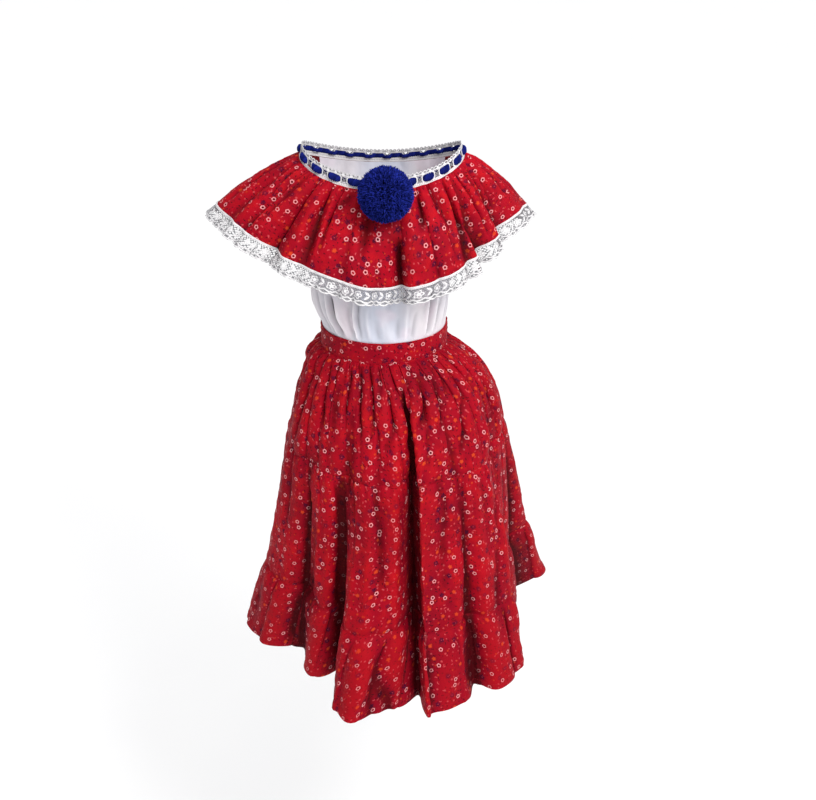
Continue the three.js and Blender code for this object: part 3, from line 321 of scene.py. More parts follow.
# Light, floor and camera
FLOOR_Z, FLOOR_HALF = -1.6, 60
SKY, SKY_POWER = (0.96, 0.97, 1.0, 1), 0.62
LAMP_COLOUR = (1, 0.99, 0.97)
CAMERA_PLACE, CAMERA_DOWN = (0.0386, -1.60, 0.815), 30.6
CAMERA_LENS, CAMERA_SENSOR = 49.19, 36


def unit(value):
    """A value held between 0 and 1."""
    return min(max(value, 0), 1)


def eased(t):
    return t * t * (3 - 2 * t)


def bell(x):
    return np.exp(-(x ** 2))


def half_wave(x):
    """0 at whole numbers and 1 half way between them."""
    return (1 - np.cos(TURN * x)) / 2


def unit_length(vectors):
    return vectors / np.linalg.norm(vectors, axis=-1, keepdims=True)


def curve_through(knots, values, x):
    """Values on a smooth curve through a table's two columns."""
    knots, values, x = (np.asarray(part, float) for part in (knots, values, x))
    last = len(knots) - 1
    here = np.arange(last + 1)
    before, after = np.maximum(here - 1, 0), np.minimum(here + 1, last)
    slopes = (values[after] - values[before]) / (knots[after] - knots[before])
    i = np.clip(np.searchsorted(knots, x, side="left") - 1, 0, last - 1)
    span = knots[i + 1] - knots[i]
    t = np.clip((x - knots[i]) / span, 0, 1)
    start = t * (1 - t) ** 2 * span * slopes[i]
    end = t * t * (t - 1) * span * slopes[i + 1]
    return values[i] * (1 - eased(t)) + values[i + 1] * eased(t) + start + end


def column(table, name, x):
    return curve_through(table["at"], table[name], x)


def section(table, at):
    return [column(table, name, at) for name in ("half_width", "half_depth", "shift")]


def uneven(k):
    """An uneven but fixed number between -1 and 1 for the k-th of a row."""
    return np.sin(k * 2.4 + 0.7) * 0.6 + np.sin(k * 5.3) * 0.4


def turn_to(angle, target):
    """The signed turn from a target direction to an angle."""
    return (angle - target + 180) % FULL_TURN - 180


def large_folds(table, levels, place, share, angle):
    """How far the cloth stands out between the lines of a table of folds, with narrow valleys."""
    at, at_top, *outs = table.T
    lines = at_top + (at - at_top) * share
    outs = [curve_through(levels, (0, *row), place) for row in zip(*outs)]
    lines, outs = np.append(lines, lines[0] + FULL_TURN), np.append(outs, outs[0])
    turned = (angle - lines[0]) % FULL_TURN + lines[0]
    i = np.clip(np.searchsorted(lines, turned, side="right") - 1, 0, len(lines) - 2)
    ease = eased((turned - lines[i]) / (lines[i + 1] - lines[i]))
    falling = outs[i + 1] < outs[i]
    narrow = np.where(falling, ease ** VALLEY_SHARPNESS, 1 - (1 - ease) ** VALLEY_SHARPNESS)
    return outs[i] + (outs[i + 1] - outs[i]) * narrow


class Columns:
    """The columns of a gathered panel round the body: each half's shares, and every column's own gather."""

    def __init__(self, gathers, per_gather):
        half = gathers["count"] // 2
        widths = 1 + 0.28 * uneven(np.arange(half) + 11)
        edges = np.append(0, np.cumsum(widths)) / widths.sum()
        steps = np.arange(half * per_gather + 1)
        within = np.minimum(steps // per_gather, half - 1)
        phase = steps / per_gather - within
        width = edges[within + 1] - edges[within]
        self.count, self.per_gather = 2 * half * per_gather, per_gather
        self.shares = edges[within] + width * phase
        self.gather, self.phase, self.width = (np.append(part, part[1:]) for part in (within, phase, width))
        self.number = np.append(within, within[1:] + half)


def lengths_along(points):
    """The distance of each of a row of points from the first."""
    return np.append(0, np.cumsum(np.linalg.norm(np.diff(points, axis=0), axis=1)))


def angles_by_length(curve, shares):
    """Angles at shares of the length of the front half and then the back half of a curve round the body."""
    found = []
    for start in (-90.0, 90.0):
        fine = np.linspace(start, start + 180, 481)
        lengths = lengths_along(curve(fine))
        found.append(np.interp(shares * lengths[-1], lengths, fine))
    return np.append(found[0], found[1][1:])


def crest(gathers, columns, below):
    """How far each column's gather stands out, and how far it leans to its own valleys.

    A gather runs out sooner or later than its neighbours, by its number.
    """
    own_reach = 1 + 0.3 * uneven(columns.number * 7 + 5)
    height = curve_through(gathers["below"], gathers["height"], below / own_reach)
    height = height * (1 + 0.5 * uneven(columns.gather * 3 + 2))
    lean = -np.sin(TURN * columns.phase)
    return height * half_wave(columns.phase) ** CREST_ROUNDNESS, lean * np.minimum(height / 5, 1)


def puckers(gathers, columns, below):
    """The small puckers right under a gathering seam, each as high and long as its own number says."""
    each = gathers["puckers"]
    pucker = np.floor(each * columns.phase) + each * columns.number
    own = 1 + 0.6 * uneven(pucker * 3 + 1)
    reach = PUCKER_REACH * (1 + 0.6 * uneven(pucker * 5 + 2))
    return PUCKER_HEIGHT * own * half_wave(each * columns.phase) * np.exp(-below / reach) * min(below / 2, 1)


def creases(angle, along, radius, lines):
    """Troughs and ridges, listed one by one. Each line: its directions at its start and end, where it starts
    and ends along the cloth, its width in millimetres, and how far it stands out, below 0 for a trough."""
    total = 0 * angle
    for at_start, at_end, start, end, width, out in lines:
        t = (along - start) / (end - start)
        line = at_start + (at_end - at_start) * np.clip(t, 0, 1)
        fade = np.clip(t * (1 - t) * 4, 0, 1) ** 0.6
        total += out * fade * bell(np.radians(turn_to(angle, line)) * radius / width)
    return total


def slow_waves(angle, share, waves):
    return sum(height * np.sin(turns * np.radians(angle) + phase + TURN * down * share)
               for turns, phase, down, height in waves)


class Wrinkles:
    """Small soft wrinkles, the same each run: ridges that wander over a field of cells."""

    def __init__(self, seed, across, down, height):
        self.across, self.down, self.height = across, down, height
        self.values = np.random.default_rng(seed).uniform(-1, 1, (down + 2, across))

    def at(self, angle, share):
        """Their height at angles round the body, a share of the way down the piece."""
        x, y = (angle / FULL_TURN % 1) * self.across, unit(share) * self.down
        i, row = np.floor(x).astype(int) % self.across, int(y)
        right = (i + 1) % self.across
        along, down = eased(x - np.floor(x)), eased(y - row)
        low, high = self.values[row], self.values[row + 1]
        value = (low[i] * (1 - along) + low[right] * along) * (1 - down)
        value = value + (high[i] * (1 - along) + high[right] * along) * down
        return self.height * (0.45 - np.sqrt(value ** 2 + 0.03))


SKIRT_WRINKLES = (Wrinkles(3, 64, 26, 2.6), Wrinkles(5, 120, 44, 1.3))
RUFFLE_WRINKLES = (Wrinkles(11, 52, 8, 2.4), Wrinkles(13, 110, 15, 1.2))
BODICE_WRINKLES = (Wrinkles(17, 44, 13, 1.5), Wrinkles(19, 90, 22, 0.7))


def wrinkled(fields, angle, share):
    return sum(field.at(angle, share) for field in fields)


def length_round(row):
    """The length of a closed row of points."""
    return np.linalg.norm(np.diff(row, axis=0, append=row[:1]), axis=1).sum()


def normals(grid, ring):
    """Outward directions of a grid whose rows run down and whose columns run to the right."""
    across = np.roll(grid, -1, axis=1) - np.roll(grid, 1, axis=1) if ring else np.gradient(grid, axis=1)
    return unit_length(np.cross(np.gradient(grid, axis=0), across))


def smoothed(grid, ring, times):
    """A grid with every point moved towards its neighbours in its row."""
    for _ in range(times):
        moved = grid / 2 + (np.roll(grid, 1, axis=1) + np.roll(grid, -1, axis=1)) / 4
        if not ring:
            moved[:, [0, -1]] = grid[:, [0, -1]]
        grid = moved
    return grid


def hollows(grid, ring):
    """How deep each point lies under the cloth beside it: up to 1 in a trough, and down to -1 on a ridge. The
    materials paint shade in troughs and a highlight on ridges by it.
    """
    out = normals(grid, ring)
    total = 0
    for passes, full, weight in HOLLOW_SCALES:
        depth = ((smoothed(grid, ring, passes) - grid) * out).sum(axis=2)
        depth -= depth.mean(axis=1, keepdims=True)
        total = total + weight * np.clip(depth / full, -1, 1)
    return np.clip(total, -1, 1)


def add_object(name, data):
    thing = bpy.data.objects.new(name, data)
    bpy.context.scene.collection.objects.link(thing)
    return thing


def write_mesh(name, points, groups, materials, uvs=None, face_material=None, tones=None, sharp=55):
    """An object from points in millimetres and groups of faces with an equal number of corners."""
    corners = np.concatenate([group.ravel() for group in groups])
    sizes = np.concatenate([np.full(len(group), group.shape[1]) for group in groups])
    mesh = bpy.data.meshes.new(name)
    mesh.vertices.add(len(points))
    mesh.vertices.foreach_set("co", (points * MM).astype(np.float32).ravel())
    mesh.loops.add(len(corners))
    mesh.loops.foreach_set("vertex_index", corners.astype(np.int32))
    mesh.polygons.add(len(sizes))
    mesh.polygons.foreach_set("loop_start", (np.cumsum(sizes) - sizes).astype(np.int32))
    for material in materials:
        mesh.materials.append(material)
    if face_material is not None:
        mesh.polygons.foreach_set("material_index", face_material.astype(np.int32))
    mesh.update(calc_edges=True)
    if uvs is not None:
        layer = mesh.uv_layers.new(name="cloth")
        layer.uv.foreach_set("vector", (uvs * MM).astype(np.float32).ravel())
    mesh.polygons.foreach_set("use_smooth", np.ones(len(sizes), bool))
    mesh.set_sharp_from_angle(angle=math.radians(sharp))
    if tones is not None:
        mesh.attributes.new("tone", "FLOAT", "POINT").data.foreach_set("value", tones.astype(np.float32))
    return add_object(name, mesh)


def settle(piece, slot, *nodes):
    """Says that a piece rides on the dress and hides the nodes it stands for. Its slot, what it is made of,
    is not used.
    """
    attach(piece, "root")
    if nodes:
        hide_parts(*nodes)


def halves(stem):
    return stem + "_front", stem + "_back"


def shell_quads(rows, columns, ring):
    """A wall's quads as their corners' rows, columns and sides, and the column of each quad's own cell."""
    cells = columns if ring else columns - 1
    i, j = (a.ravel() for a in np.mgrid[0:rows - 1, 0:cells])
    across, down = np.arange(cells), np.arange(rows - 1)
    parts = [
        (i, j, ((0, 0, 0), (1, 0, 0), (1, 1, 0), (0, 1, 0))),
        (i, j, ((0, 0, 1), (0, 1, 1), (1, 1, 1), (1, 0, 1))),
        (across * 0, across, ((0, 1, 0), (0, 1, 1), (0, 0, 1), (0, 0, 0))),
        (across * 0 + rows - 1, across, ((0, 0, 0), (0, 0, 1), (0, 1, 1), (0, 1, 0))),
    ]
    if not ring:
        parts.append((down, down * 0, ((0, 0, 0), (0, 0, 1), (1, 0, 1), (1, 0, 0))))
        parts.append((down, down * 0 + columns - 1, ((1, 0, 0), (1, 0, 1), (0, 0, 1), (0, 0, 0))))
    corners = np.concatenate([np.stack([a, b, a * 0], 1)[:, None] + np.array(steps) for a, b, steps in parts])
    own = np.concatenate([np.minimum(b, cells - 1) for a, b, steps in parts])
    return (*np.moveaxis(corners, 2, 0), own)


def shell(name, outer, thickness, ring, materials, uv):
    """A piece of cloth: a closed wall whose outer face is a grid of points. uv(row, column, cell) gives the
    place on the flat cloth of a face's corner."""
    rows, columns = outer.shape[:2]
    row, col, side, own = shell_quads(rows, columns, ring)
    quads = side * rows * columns + row * columns + col % columns
    points = np.concatenate([outer, outer - normals(outer, ring) * thickness]).reshape(-1, 3)
    reverse = (side.min(axis=1) > 0) * (len(materials) > 1)
    # The outer face's tone is its depth under the cloth beside it, which the materials paint as shade in
    # troughs and as highlight on ridges
    outside = hollows(outer, ring).ravel()
    tones = np.concatenate([outside, outside * 0])
    uvs = uv(row, col, own[:, None]).reshape(-1, 2)
    return write_mesh(name, points, [quads], materials, uvs, reverse, tones)


def lengths_round(outer, ring):
    """The distance along each row, with one more column than the grid where it is a ring."""
    closed = np.concatenate([outer, outer[:, :1]], axis=1) if ring else outer
    steps = np.linalg.norm(np.diff(closed, axis=1), axis=2)
    return np.concatenate([np.zeros((len(outer), 1)), np.cumsum(steps, axis=1)], axis=1)


def lengths_down(outer):
    return np.append(0, np.cumsum(np.linalg.norm(np.diff(outer, axis=0), axis=2).mean(axis=1)))


def plain_uv(outer, ring, start=0.0):
    """Cloth that is laid with no gathers: the widest row gives every row's places."""
    across, down = lengths_round(outer, ring), lengths_down(outer)
    widest = across[across[:, -1].argmax()]
    return lambda row, col, cell: np.stack([widest[col], down[row] + start], axis=2)


def gathered_uv(outer, columns, start):
    """Cloth that is gathered at its top: each gather shows its own stretch of the print undistorted, and what
    lies hidden in the valleys is left out."""
    across, down = lengths_round(outer, True), lengths_down(outer)
    middle = np.arange(columns.count // columns.per_gather) * columns.per_gather + columns.per_gather // 2
    offset = across[across[:, -1].argmax(), middle] - across[:, middle]

    def place(row, col, cell):
        own = cell // columns.per_gather + 0 * row
        return np.stack([across[row, col] + offset[row, own], down[row] + start], axis=2)

    return place


def ring_points(half_width, half_depth, angle, z, shift=0.0):
    a = np.radians(angle)
    return np.stack([shift + half_width * np.sin(a), -half_depth * np.cos(a), z + 0 * a], axis=-1)


def level_out(direction):
    return ring_points(1, 1, direction, 0)


# Skirt

def skirt_points(angle, drop):
    """The skirt's surface at one drop, with its large folds and without its gathers."""
    a = np.radians(angle)
    half_width, half_depth, shift = section(SKIRT_SECTIONS, drop)
    pouch = np.maximum(0, 1 - (turn_to(angle, POUCH_AT) / POUCH_SPREAD) ** 2)
    pouch = POUCH_OUT * pouch * max(0, 1 - ((drop - POUCH_DROP) / POUCH_DEPTH) ** 2)
    puff = FLOUNCE_PUFF * unit((drop - FLOUNCE_SEAM) / FLOUNCE_PUFF_BELOW)
    folds = large_folds(SKIRT_FOLDS, FOLD_DROPS, drop, unit(drop / HEM), angle)
    radius = 1 / np.hypot(np.sin(a) / half_width, np.cos(a) / half_depth) + folds + pouch + puff
    return np.stack([shift + radius * np.sin(a), -radius * np.cos(a), 0 * a - drop], axis=-1)


def pleat_slide(angle, drop, radius):
    """How far the cloth beside the deep fold slides to the left."""
    line = PLEAT["at_waist"] + (PLEAT["at"] - PLEAT["at_waist"]) * unit(drop / HEM)
    off = turn_to(angle, line) / PLEAT["half"]
    grown = unit((drop - PLEAT["from"]) / (PLEAT["full"] - PLEAT["from"]))
    return -grown * min(PLEAT["slide"] * radius, PLEAT["most"]) * off * np.exp((1 - off * off) / 2)


def tier_row(drop, seam, gathers, columns):
    """The outer points of a tier at one drop."""
    angles = angles_by_length(lambda a: skirt_points(a, drop), columns.shares)[:-1]
    radius = column(SKIRT_SECTIONS, "half_width", drop)
    plain = skirt_points(angles, drop) + level_out(angles + 90) * pleat_slide(angles, drop, radius)[:, None]
    along = unit_length(np.roll(plain, -1, axis=0) - np.roll(plain, 1, axis=0))
    out = np.stack([along[:, 1], -along[:, 0], 0 * along[:, 0]], axis=1)
    gather = length_round(plain) / gathers["count"]
    below = max(drop - seam, 0)
    lift, lean = crest(gathers, columns, below)
    lift = (lift + puckers(gathers, columns, below))[:-1] * unit(below / TUCK_REACH)
    lift += SKIRT_CREASE_DEPTH * creases(angles, drop, radius, SKIRT_CREASES)
    lift += slow_waves(angles, drop / HEM, SKIRT_WAVES) * unit((drop - SKIRT_WAVES_FROM) / SKIRT_WAVES_GROW)
    tuck = TUCK * unit(1 - below / TUCK_REACH)
    lift += wrinkled(SKIRT_WRINKLES, angles, drop / HEM) * unit(below / 12) - tuck
    slide = lean[:-1] * GATHER_LEAN * gather / TURN
    return plain + out * lift[:, None] + along * slide[:, None]


def pinched(grid, drops, seam):
    """A grid drawn in towards the body's axis at a seam."""
    out = normals(grid, True)
    out[:, :, 2] = 0
    return grid - out * (SEAM_PINCH * bell((drops - seam) / SEAM_PINCH_REACH))[:, None, None]


def hemmed(grid, drops):
    """A grid whose hem stands out a little, with a groove at its line of stitches."""
    below = drops - (HEM - HEM_FOLD)
    step = HEM_ROLL * np.clip(below / 1.5, 0, 1) - 0.5 * bell(below / 1.2)
    return grid + normals(grid, True) * step[:, None, None]


def skirt_tier(name, stem, seam, bottom, gathers, start):
    """Makes a tier. Returns its grid and its rows' drops."""
    columns = Columns(gathers, TIER_PER_GATHER)
    ends = np.array(SEAM_ROWS)
    top, foot = seam - SEAM_OVERLAP, bottom if bottom == HEM else bottom + SEAM_OVERLAP
    middle = np.arange(top + ends[-1] + ROW_STEP, foot - ends[-1] - ROW_STEP / 2, ROW_STEP)
    drops = np.concatenate([top + ends, middle, foot - ends[::-1]])
    grid = np.array([tier_row(drop, seam, gathers, columns) for drop in drops])
    for pinch in (TIER_SEAM, FLOUNCE_SEAM):
        grid = pinched(grid, drops, pinch)
    if bottom == HEM:
        grid = hemmed(grid, drops)
    uv = gathered_uv(grid, columns, start)
    piece = shell(name, grid, COTTON_WALL, True, [print_face, print_reverse], uv)
    settle(piece, "cotton", *halves(stem))
    return grid, drops


# Neckline and ruffle

def neck_points(angle):
    forward = np.cos(np.radians(angle))
    dip = np.where(forward > 0, NECK_FRONT_DIP, NECK_BACK_DIP) * np.abs(forward) ** NECK_DIP_POWER
    return ring_points(NECK_WIDTH, NECK_DEPTH, angle, NECK_HEIGHT - dip)


def neck_angle(direction):
    """The angle on the neckline's ellipse whose side faces a direction."""
    a = np.radians(direction)
    turned = np.degrees(np.arctan2(NECK_WIDTH * np.sin(a), NECK_DEPTH * np.cos(a)))
    return turned + np.round(direction / FULL_TURN) * FULL_TURN


def ruffle_points(direction, share, out=0.0):
    """Points of the ruffle or its lace at a share of the ruffle's length. out lifts them off the surface."""
    turned, on_cloth = turn_to(direction, 0), unit(share)
    start, end = (np.radians(column(RUFFLE_SLOPES, name, turned)) for name in ("start", "end"))
    slope = start + (end - start) * on_cloth
    bend = column(RUFFLE_SLOPES, "length", turned) / (end - start)
    past = (share - on_cloth) * RUFFLE_LENGTH
    reach = bend * (np.sin(slope) - np.sin(start)) + past * np.cos(slope)
    fall = bend * (np.cos(start) - np.cos(slope)) + past * np.sin(slope)
    lift = large_folds(RUFFLE_FOLDS, (0, 0.5, 1), on_cloth, on_cloth, direction) + out
    level = RUFFLE_CLEARANCE + reach + lift * np.sin(slope)
    points = neck_points(neck_angle(direction)) + level_out(direction) * level[:, None]
    points[:, 2] += lift * np.cos(slope) - fall
    return points


def ruffle_columns(columns, share):
    """The ruffle's columns at a share of its length: their angles as the gathers lean, and their lifts."""
    angles = angles_by_length(lambda a: ruffle_points(a, share), columns.shares)
    below = min(share, 1) * RUFFLE_LENGTH
    grown = unit(below / RUFFLE_CREASES_FULL)
    lift, lean = crest(RUFFLE_GATHERS, columns, below)
    lift = lift + puckers(RUFFLE_GATHERS, columns, below)
    lift += grown * RUFFLE_CREASE_DEPTH * creases(angles, below, RUFFLE_RADIUS, RUFFLE_CREASES)
    lift += slow_waves(angles, min(share, 1), RUFFLE_WAVES) * unit(min(share, 1) / 0.3)
    lift += grown * wrinkled(RUFFLE_WRINKLES, angles, share)
    return angles + lean * GATHER_LEAN * 180 * columns.width / TURN, lift


def ruffle_piece():
    columns = Columns(RUFFLE_GATHERS, RUFFLE_PER_GATHER)
    middle = np.arange(RUFFLE_STEP, RUFFLE_HEM_ROWS[0] - 1, RUFFLE_STEP)
    rows = []
    for share in np.concatenate([RUFFLE_TOP_ROWS, middle, RUFFLE_HEM_ROWS]) / RUFFLE_LENGTH:
        angles, lift = ruffle_columns(columns, share)
        rows.append(ruffle_points(angles, share, lift)[:-1])
    grid = np.array(rows)
    uv = gathered_uv(grid, columns, RUFFLE_PRINT_START)
    piece = shell("Ruffle", grid, COTTON_WALL, True, [print_face, print_reverse], uv)
    settle(piece, "cotton", *halves("ruffle"))


# Lace: patterns are above 0 where there is thread. s runs along the lace, and t down from its upper edge.

def line(place, pitch, half):
    """Above 0 on threads that lie a pitch apart."""
    return half - np.abs((place / pitch + 0.5) % 1 - 0.5) * pitch


def net(s, t, pitch, half):
    return np.maximum(line(s + t, pitch, half), line(s - t, pitch, half))


def around(s, pitch, offset=0.0):
    """The distance along the lace from the nearest middle of a row of forms."""
    return ((s + offset) / pitch + 0.5) % 1 * pitch - pitch / 2


def blossom(along, across, radius, petals):
    """Above 0 in the petals of a blossom, with an eyelet in its heart."""
    reach, turn = np.hypot(along, across), np.arctan2(across, along)
    petal = radius * (0.62 + 0.38 * np.abs(np.cos(turn * petals / 2))) - reach
    return np.minimum(petal, reach - 0.18 * radius)


def leaf(along, across, tilt, length=9.0, width=3.4):
    c, k = math.cos(math.radians(tilt)), math.sin(math.radians(tilt))
    inside = np.clip(1 - np.abs(along * c + across * k) / (length / 2), -1, 1)
    return width / 2 * inside - np.abs(across * c - along * k)


def ruffle_lace_pattern(s, t):
    """The hem lace: heading, net, outlined blossoms with leaves, a wavy cord and a scalloped edge."""
    swell = np.abs(np.sin(np.pi * s / LACE_SCALLOP_PITCH)) ** 0.7
    edge = LACE_WIDTH + LACE_OVERLAP - LACE_SCALLOP + LACE_SCALLOP * swell
    heading = np.maximum(line(s, BAR_PITCH, BAR_HALF), np.abs(t - HEADING_SLOTS_AT) - HEADING_SLOT_HALF)
    heading = np.minimum(HEADING_DEPTH - t, heading)
    cord = 1.0 - np.abs(t - (edge - 1.0))
    wave = edge - WAVY_CORD_AT + WAVY_CORD_SWING * np.cos(TURN * s / LACE_SCALLOP_PITCH)
    wavy = 0.75 - np.abs(t - wave) * 0.8
    rays = np.minimum(line(s, BAR_PITCH, 0.42), np.minimum(t - (edge - RAYS_AT), edge - t))
    along, beside = around(s, LACE_REPEAT), around(s, LACE_REPEAT, LACE_REPEAT / 2)
    petals = blossom(along, t - LACE_BLOSSOM_AT, BLOSSOM_RADIUS, BLOSSOM_PETALS)
    centre = BLOSSOM_HEART - np.hypot(along, t - LACE_BLOSSOM_AT)
    leaves = np.maximum(*(leaf(beside, t - at, tilt) for at, tilt in LEAVES))
    clear = np.maximum(petals + 0.6, leaves + 0.9)
    ground = np.where(clear > 0, -1, net(s, t, LACE_NET * 1.2, LACE_THREAD))
    outline, veins = 0.75 - np.abs(petals - 0.6), 0.7 - np.abs(leaves - 0.5)
    cords = np.maximum.reduce([heading, cord, wavy, outline, centre, veins])
    return np.minimum(np.maximum.reduce([ground, cords, rays]), edge - t), cords


def cut_out(field):
    """Triangles of the part of a ring of cells where a field is above 0, with its edges put where it is 0.

    Returns places in the grid as (row, column), triangles, and the edges of the cut.
    """
    rows, columns = field.shape
    i, j = (a.ravel() for a in np.mgrid[0:rows - 1, 0:columns])
    steps = ((0, 0), (1, 0), (1, 1), (0, 1))
    nodes = np.stack([(i + di) * columns + (j + dj) % columns for di, dj in steps], 1)
    flat = field.ravel()
    case = ((flat > 0)[nodes] * (1, 2, 4, 8)).sum(axis=1)
    places, triangles, rims = [], [], []
    count = 0
    for value in range(1, 16):
        own = np.nonzero(case == value)[0]
        if len(own) == 0:
            continue
        walk = []
        for k in range(4):
            after = (k + 1) % 4
            if value >> k & 1:
                walk.append((k, k))
            if (value >> k & 1) != (value >> after & 1):
                walk.append((k, after))
        for a, b in walk:
            fa, fb = flat[nodes[own, a]], flat[nodes[own, b]]
            share = np.where(a == b, 0, fa / np.where(fa == fb, 1, fa - fb))
            row = i[own] + steps[a][0] + share * (steps[b][0] - steps[a][0])
            col = j[own] + steps[a][1] + share * (steps[b][1] - steps[a][1])
            places.append(np.stack([row, col], 1))
        ids = count + np.arange(len(walk))[:, None] * len(own) + np.arange(len(own))
        count += len(walk) * len(own)
        for k in range(1, len(walk) - 1):
            triangles.append(np.stack([ids[0], ids[k], ids[k + 1]], 1))
        for k, (a, b) in enumerate(walk):
            after = (k + 1) % len(walk)
            if a != b and walk[after][0] != walk[after][1]:
                rims.append(np.stack([ids[k], ids[after]], 1))
    places, triangles, rims = (np.concatenate(part) for part in (places, triangles, rims))
    keys = np.round(np.stack([places[:, 0], places[:, 1] % columns], 1) * 1024).astype(np.int64)
    _, first, number = np.unique(keys[:, 0] * 2 ** 32 + keys[:, 1], return_index=True, return_inverse=True)
    number = number.ravel()
    triangles, rims = number[triangles], number[rims]
    whole = (triangles != np.roll(triangles, 1, axis=1)).all(axis=1)
    return places[first], triangles[whole], rims[rims[:, 0] != rims[:, 1]]


def at_places(grid, row, col):
    """Points between a ring's own, by their row and column."""
    rows, columns = grid.shape[:2]
    r, c = np.clip(np.floor(row).astype(int), 0, rows - 2), np.floor(col).astype(int)
    fr, fc = (row - r)[:, None], (col - c)[:, None]
    c, right = c % columns, (c + 1) % columns
    top = grid[r, c] * (1 - fc) + grid[r, right] * fc
    low = grid[r + 1, c] * (1 - fc) + grid[r + 1, right] * fc
    return top * (1 - fr) + low * fr


def lace(name, stem, grid, across, pattern, repeat):
    """A ring of lace on a grid of points: its pattern is cut out of the strip, with the cuts as geometry.

    across gives the grid rows' distances from the upper edge. The pattern repeats a whole number of times.
    """
    step = LACE_STEP[name]
    length = repeat * round(length_round(grid[0]) / repeat)
    steps_along, steps_across = int(length / step), int(across[-1] / step)
    t, s = np.mgrid[0:steps_across + 1, 0:steps_along].astype(float)
    field, cords = pattern(s * length / steps_along, t * across[-1] / steps_across)
    field[0] = field[-1] = -0.01
    places, triangles, rims = cut_out(field)
    row = np.interp(places[:, 0] * across[-1] / steps_across, across, np.arange(len(across)))
    col = places[:, 1] * grid.shape[1] / steps_along
    cord_here = at_places(np.clip(cords / CORD_EDGE + 0.5, 0, 1)[:, :, None], *places.T)
    out = at_places(normals(grid, True), row, col)
    outer = at_places(grid, row, col) + out * cord_here * CORD_HEIGHT
    inner = outer - out * (LACE_WALL + cord_here * CORD_HEIGHT)
    deep = np.clip(at_places(hollows(grid, True)[:, :, None], row, col), 0, 1)
    count = len(outer)
    a, b = rims.T
    walls = [np.stack([b, a, a + count], 1), np.stack([b, a + count, b + count], 1)]
    faces = np.concatenate([triangles, triangles[:, ::-1] + count, *walls])
    flat = np.tile(places[:, ::-1] * step, (2, 1))[faces.ravel()]
    # The tone is 1 on a cord and 0 on the net, and lower in a trough: the material paints the net and the
    # troughs with shade by it
    tones = np.tile((cord_here * (1 - TROUGH_SHADE * deep))[:, 0], 2)
    points = np.concatenate([outer, inner])
    settle(write_mesh(name, points, [faces], [lace_thread], flat, tones=tones), "lace", *halves(stem))


def ruffle_lace_piece():
    columns, cotton = Columns(LACE_GATHERS, LACE_PER_GATHER), Columns(RUFFLE_GATHERS, RUFFLE_PER_GATHER)
    across = np.linspace(0, LACE_WIDTH + LACE_OVERLAP, LACE_ROWS)
    rows = []
    for below in across - LACE_OVERLAP:
        share = 1 + below / RUFFLE_LENGTH
        angles = angles_by_length(lambda a: ruffle_points(a, share), columns.shares)
        lift, lean = crest(LACE_GATHERS, columns, max(below, 0))
        angles = angles + lean * LACE_LEAN * 180 * columns.width / TURN
        under = np.interp(angles, *ruffle_columns(cotton, share))
        off = LACE_LIFT * unit(1 - below / 3)
        rows.append(ruffle_points(angles, share, under + lift * LACE_FULLNESS + off)[:-1])
    lace("RuffleLace", "ruffle_lace", np.array(rows), across, ruffle_lace_pattern, LACE_REPEAT)


NECK_ANGLES = np.linspace(0, FULL_TURN, 721)
NECK_LENGTHS = lengths_along(neck_points(NECK_ANGLES)[:, :2])
NECK_ROUND = NECK_LENGTHS[-1]
PICOT_PITCH = NECK_ROUND / round(NECK_ROUND / PICOT_WIDTH)


def neck_lace_points(length, height, out=0.0):
    """Places on the neck lace: their height over its foot and how far off its outer face they lie."""
    angle = np.interp(np.asarray(length) % NECK_ROUND, NECK_LENGTHS, NECK_ANGLES)
    up = height + NECK_LACE_UNDER
    level = out * math.cos(NECK_LACE_LEAN) - up * math.sin(NECK_LACE_LEAN)
    a = np.radians(angle)
    facing = np.degrees(np.arctan2(NECK_DEPTH * np.sin(a), NECK_WIDTH * np.cos(a)))
    points = neck_points(angle) + level_out(facing) * np.expand_dims(level + 0 * angle, -1)
    points[..., 2] += out * math.sin(NECK_LACE_LEAN) + up * math.cos(NECK_LACE_LEAN) - NECK_LACE_UNDER
    return points


def stitch_at(k):
    return STITCH_START + STITCH_PITCH * k + STITCH_EASING * k * k


def slot_half(k):
    return SLOT_SHARE * (STITCH_PITCH + 2 * STITCH_EASING * k)


